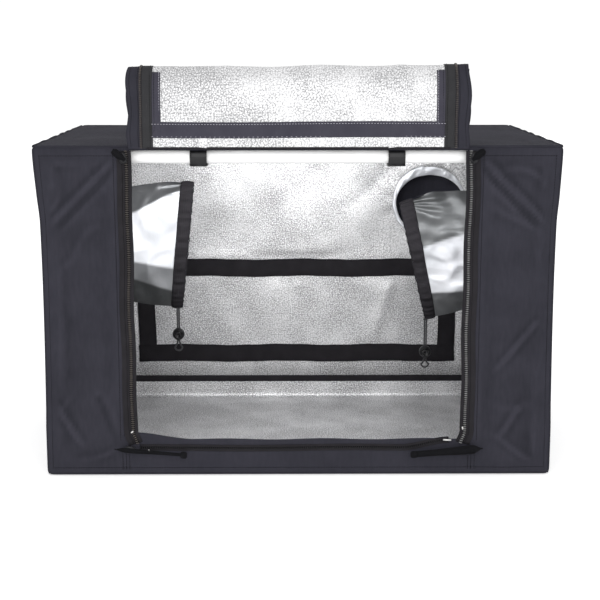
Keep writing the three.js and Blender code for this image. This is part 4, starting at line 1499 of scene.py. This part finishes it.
def vent():
    """The net over the rear window, its outer binding, and the silver flap inside with its frame of tape."""
    low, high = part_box("vent_net")
    us = between(-high.x, high.x, step=4 * MM)
    vs = between(low.z, high.z, step=4 * MM)
    u, v = np.meshgrid(us, vs)
    y = (low.y + high.y) / 2 + 0.7 * MM * waves(u, v, 95, 0.07) * ease((high.x - np.abs(u)) / 0.03)
    net = build(
        "vent_net_mesh", [grid(np.stack([-u, y, v], -1), us, vs)], [NET], "tent", "vent_net"
    )

    def border(half, foot, top, width, y_of, thick, wave, wide_side):
        """Four strips of tape round a rectangle, each over its whole length."""
        strips, rows = [], []
        for z in (foot + width / 2, top - width / 2):
            x = np.linspace(-half, half, 160)
            zz = z + wave * np.sin(x / (23 * MM) + z * 40) + 0.3 * wave * np.sin(x / (7 * MM))
            points = np.stack([x, y_of(x, zz), zz], -1)
            strips.append(sweep(points, rounded(width, thick, thick / 2.2), side=(0, 0, 1)))
            for s in (-1, 1):
                e = zz + s * (width / 2 - 2 * MM)
                row = np.stack([x, y_of(x, e) + wide_side * thick / 2, e], -1)
                rows.append(stitches(row, (0, wide_side, 0), pitch=3.1 * MM))
        for x in (-half + width / 2, half - width / 2):
            z = np.linspace(foot + 0.6 * width, top - 0.6 * width, 60)
            xx = x + wave * np.sin(z / (19 * MM) + x * 40)
            points = np.stack([xx, y_of(xx, z) - wide_side * 0.3 * MM, z], -1)
            strips.append(sweep(points, rounded(width, thick, thick / 2.2), side=(1, 0, 0)))
            for s in (-1, 1):
                e = xx + s * (width / 2 - 2 * MM)
                row = np.stack([e, y_of(e, z) + wide_side * (thick / 2 - 0.3 * MM), z], -1)
                rows.append(stitches(row, (0, wide_side, 0), pitch=3.1 * MM))
        return strips, rows

    strips, rows = border(
        high.x + 4 * MM, low.z - 4 * MM, high.z + 4 * MM, 12 * MM,
        lambda x, z: 0 * x + high.y + 0.5 * MM, 1 * MM, 0.3 * MM, 1,
    )
    build("vent_binding", strips, [BLACK_TAPE])
    build("vent_binding_stitches", rows, [BLACK_THREAD])

    us = between(FLAP_LOW.x, FLAP_HIGH.x, step=3.5 * MM)
    vs = between(FLAP_LOW.z, FLAP_HIGH.z, step=3.5 * MM)
    u, v = np.meshgrid(us, vs)
    flap = build(
        "vent_flap_cloth", [grid(np.stack([u, flap_y(u, v), v], -1), us, vs)], [LINING],
        "vent_flap", "vent_flap",
    )
    thicken(flap, 0.8 * MM)
    strips, rows = border(
        FLAP_HIGH.x, FLAP_LOW.z, FLAP_HIGH.z, TAPE_WIDE,
        lambda x, z: flap_y(x, z) - 0.45 * MM, 1.1 * MM, 0.8 * MM, -1,
    )
    tape = build("vent_flap_tape", strips, [BLACK_TAPE], "vent_flap")
    build("vent_flap_stitches", rows, [BLACK_THREAD], "vent_flap")


def tray():
    """A folded sheet: its rim turns up along a round bend, and a black binding runs round the rim."""
    low, high = (np.array(c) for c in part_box("floor_tray"))
    half = (high - low)[:2] / 2 - 0.6 * MM
    middle = (high + low)[:2] / 2
    rim, radius = high[2] - low[2] - 1.5 * MM, 5 * MM
    arc = radius * np.pi / 2

    def turned_up(u, limit):
        """Distance along the sheet to place across and height: flat, then a quarter circle, then upright."""
        flat = limit - radius
        over = np.clip(np.abs(u) - flat, 0, None)
        bend = np.clip(over / arc, 0, 1) * np.pi / 2
        rise = radius * (1 - np.cos(bend)) + np.clip(over - arc, 0, None)
        return np.sign(u) * (np.minimum(np.abs(u), flat) + radius * np.sin(bend)), rise

    reach = half - radius + arc + rim - radius
    us = between(-reach[0], -half[0] + 1 * MM, half[0] - 1 * MM, reach[0], step=4 * MM)
    vs = between(-reach[1], -half[1] + 1 * MM, half[1] - 1 * MM, reach[1], step=4 * MM)
    u, v = np.meshgrid(us, vs)
    middle_u, middle_v = [(a[:-1, :-1] + a[1:, 1:]) / 2 for a in (u, v)]
    keep = ~((np.abs(middle_u) > half[0] - 1 * MM) & (np.abs(middle_v) > half[1] - 1 * MM))
    x, rise_x = turned_up(u, half[0])
    y, rise_y = turned_up(v, half[1])
    flat_part = ease((half[0] - np.abs(u)) / 0.04) * ease((half[1] - np.abs(v)) / 0.04)
    swell = (0.8 * MM * waves(u, v, 97, 0.12) + 0.8 * MM * folds(u, v, 98, 0.11) + 0.9 * MM) * flat_part
    z = low[2] + 0.9 * MM + np.maximum(rise_x, rise_y) + swell
    points = np.stack([x + middle[0], y + middle[1], z], -1)
    folded = grid(points, us, vs, keep=keep)
    sheet = build("tray_cloth", [folded], [LINING], "tent", "floor_tray")
    thicken(sheet, 0.8 * MM)
    corners = np.array([[-1, -1], [1, -1], [1, 1], [-1, 1], [-1, -1]])
    chunks = []
    for a, b in zip(corners[:-1], corners[1:]):
        edge = line(middle + a * (half + 0.2 * MM), middle + b * (half + 0.2 * MM))
        path = np.column_stack([edge, np.full(len(edge), high[2] - 4 * MM)])
        chunks.append(sweep(path, rounded(9 * MM, 2.2 * MM, 1 * MM), side=(0, 0, 1)))
    rim_tape = build("tray_binding", chunks, [BLACK_TAPE])
    tuple(2 * reach)
    float(4 * (reach[0] * reach[1] - (reach - half).prod()))


# ---------------------------------------------------------------- drawcords

CORD_R = 1.1 * MM
APART = 1.2 * MM
LOOP = 4.6 * MM
# x, y and height where each leaves its hem, the heights of its lock and lowest point, the lock's facing
DRAWCORDS = {
    "left": (-156, 0, 166.4, 131, 109, -1),
    "right": (167.5, 0, 150.4, 107, 86, -1),
    "back": (190, 216, 149.4, 112, 90, 1),
}


def drawcord(side):
    """Two strands out of the hem, through the lock and round a drop-shaped loop below it."""
    x, y, hem, lock, end, facing = (v * MM for v in DRAWCORDS[side])
    drop, reach = hem - end, hem - lock
    down = [
        (APART, 0), (APART, reach / 2), (APART, reach), (APART + 0.1 * MM, reach + 10 * MM),
        (0.8 * LOOP, reach + 16 * MM), (LOOP, drop - LOOP), (0.72 * LOOP, drop - 0.28 * LOOP),
    ]
    route = [(-a, -b) for a, b in down] + [(0, -drop)] + [(a, -b) for a, b in reversed(down)]
    curve = bpy.data.curves.new(f"drawcord_{side}", "CURVE")
    curve.dimensions = "3D"
    curve.bevel_depth = CORD_R
    curve.bevel_resolution = 3
    curve.resolution_u = 8
    curve.use_fill_caps = True
    spline = curve.splines.new("BEZIER")
    spline.bezier_points.add(len(route) - 1)
    for point, (across, height) in zip(spline.bezier_points, route):
        point.co = (x + across, MID + y, hem + height)
        point.handle_left_type = point.handle_right_type = "AUTO"
    cord = bpy.data.objects.new(f"drawcord_{side}", curve)
    bpy.context.scene.collection.objects.link(cord)
    curve.materials.append(BRAID)
    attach(cord, "tent")
    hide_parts(f"cord_{side}")

    centre = np.array([x, MID + y, lock])
    forward = (0, facing / MM, 0)
    angle = np.linspace(-np.pi / 2, np.radians(47), 16)
    globe = np.stack([8 * np.cos(angle), 8 * np.sin(angle)], -1) * MM
    globe[0, 0] = 0
    mouth = np.array([(5.2, 6.2), (4.9, 5.6), (4.9, -4.8), (0, -4.8)]) * MM
    shell = turned(np.concatenate([globe, mouth]), centre, forward, sides=44)
    rims = []
    for up in (-1, 1):
        for across in (-APART, APART):
            place = centre + [across, 0, up * 7.6 * MM]
            section = np.array([(1.2, -0.3), (1.9, -0.2), (1.9, 0.3), (1.5, 0.6), (1.2, 0.4)]) * MM
            rims.append(turned(section, place, (0, 0, 1), sides=18))
    ball_lock = build(
        f"lock_{side}_ball", [shell, *rims], [DULL_BLACK],
        f"lock_{side}", f"lock_{side}", weld=True,
    )
    pressed = np.array([
        (0, -2.6), (4.2, -2.6), (4.45, -2.3), (4.45, 9.9), (4.2, 10.6),
        (3.6, 10.95), (3.0, 10.9), (2.5, 10.5), (0, 10.3),
    ]) * MM
    button = build(
        f"lock_button_{side}_cap", [turned(pressed, centre, forward, sides=36)],
        [GLOSS_BLACK],
        f"lock_button_{side}", f"lock_button_{side}", weld=True,
    )
    section = np.array([(1.1, -0.5), (2.0, -0.4), (2.0, 0.4), (1.1, 0.6)]) * MM
    grommets = [turned(section, (x + a, MID + y, hem), (0, 0, 1), sides=18) for a in (-APART, APART)]
    build(f"hem_grommets_{side}", grommets, [DULL_BLACK])
    return cord, [ball_lock, button], (x - APART, MID + y, hem)


def drawcords():
    """All three."""
    for side, (_, _, hem, _, end, _) in DRAWCORDS.items():
        cord, on_it, start = drawcord(side)


# ---------------------------------------------------------------- studio

def studio():
    """A pale floor, a white surround, soft boxes about the tent and a strip behind the front top pole."""
    bpy.ops.mesh.primitive_plane_add(size=12)
    floor = bpy.context.object
    floor.name = "studio_floor"
    finish = Finish(
        "studio_floor", (0.9, 0.9, 0.9), 0.9, Specular_IOR_Level=0.1,
        Emission_Color=(1, 1, 1, 1), Emission_Strength=0.35,
    )
    floor.data.materials.append(finish.material)
    world = bpy.data.worlds.new("surround")
    world.use_nodes = True
    world.node_tree.nodes["Background"].inputs[0].default_value = (1, 1, 1, 1)
    world.node_tree.nodes["Background"].inputs[1].default_value = 1.05
    bpy.context.scene.world = world
    bpy.context.scene.view_settings.view_transform = "Standard"
    tent = (0, 0, 0.22)
    for name, place, aim, wide, tall, power in (
        ("doorway_box", (0.0, -1.7, 0.75), tent, 1.1, 1.1, 5),
        ("left_box", (-1.7, -1.3, 0.8), tent, 0.5, 0.9, 4),
        ("right_box", (1.7, -0.8, 1.2), tent, 0.9, 0.9, 2),
        ("top_box", (0.1, 0.2, 2.0), tent, 1.4, 1.4, 0.4),
        ("inner_strip", (0.0, POLE_Y[0] + 0.03, POLE_Z[1]), (0, BACK, 0.17), 0.36, 0.012, 0.9),
    ):
        light = bpy.data.lights.new(name, "AREA")
        light.shape = "RECTANGLE"
        light.size = wide
        light.size_y = tall
        light.energy = power
        box = bpy.data.objects.new(name, light)
        box.location = place
        way = Vector(aim) - Vector(place)
        box.rotation_euler = way.to_track_quat("-Z", "Y").to_euler()
        box.visible_camera = False
        bpy.context.scene.collection.objects.link(box)


def camera():
    """A long lens, a little above the roof, looking slightly down into the doorway."""
    lens = bpy.data.cameras.new("camera")
    lens.lens = 85.45
    lens.sensor_width = 36
    lens.shift_y = 0.0833
    seat = bpy.data.objects.new("camera", lens)
    seat.location = (-0.0121, -1.8464, 0.5061)
    seat.rotation_euler = [math.radians(a) for a in (77.758, 0, -0.476)]
    bpy.context.scene.collection.objects.link(seat)
    bpy.context.scene.camera = seat


camera()
drawcords()
cover()
piping()
front_stitching()
poles()
joiners()
bar_grips()
pole_clips()
zips()
zip_stops()
for side in ("left", "right"):
    slider(f"slider_{side}", 0.0)
    slider(f"slider_low_{side}", math.pi / 2 if side == "left" else -math.pi / 2)
    inner_sleeve(side)
pulls()
door()
port_rings()
outer_sleeve()
vent()
tray()
studio()
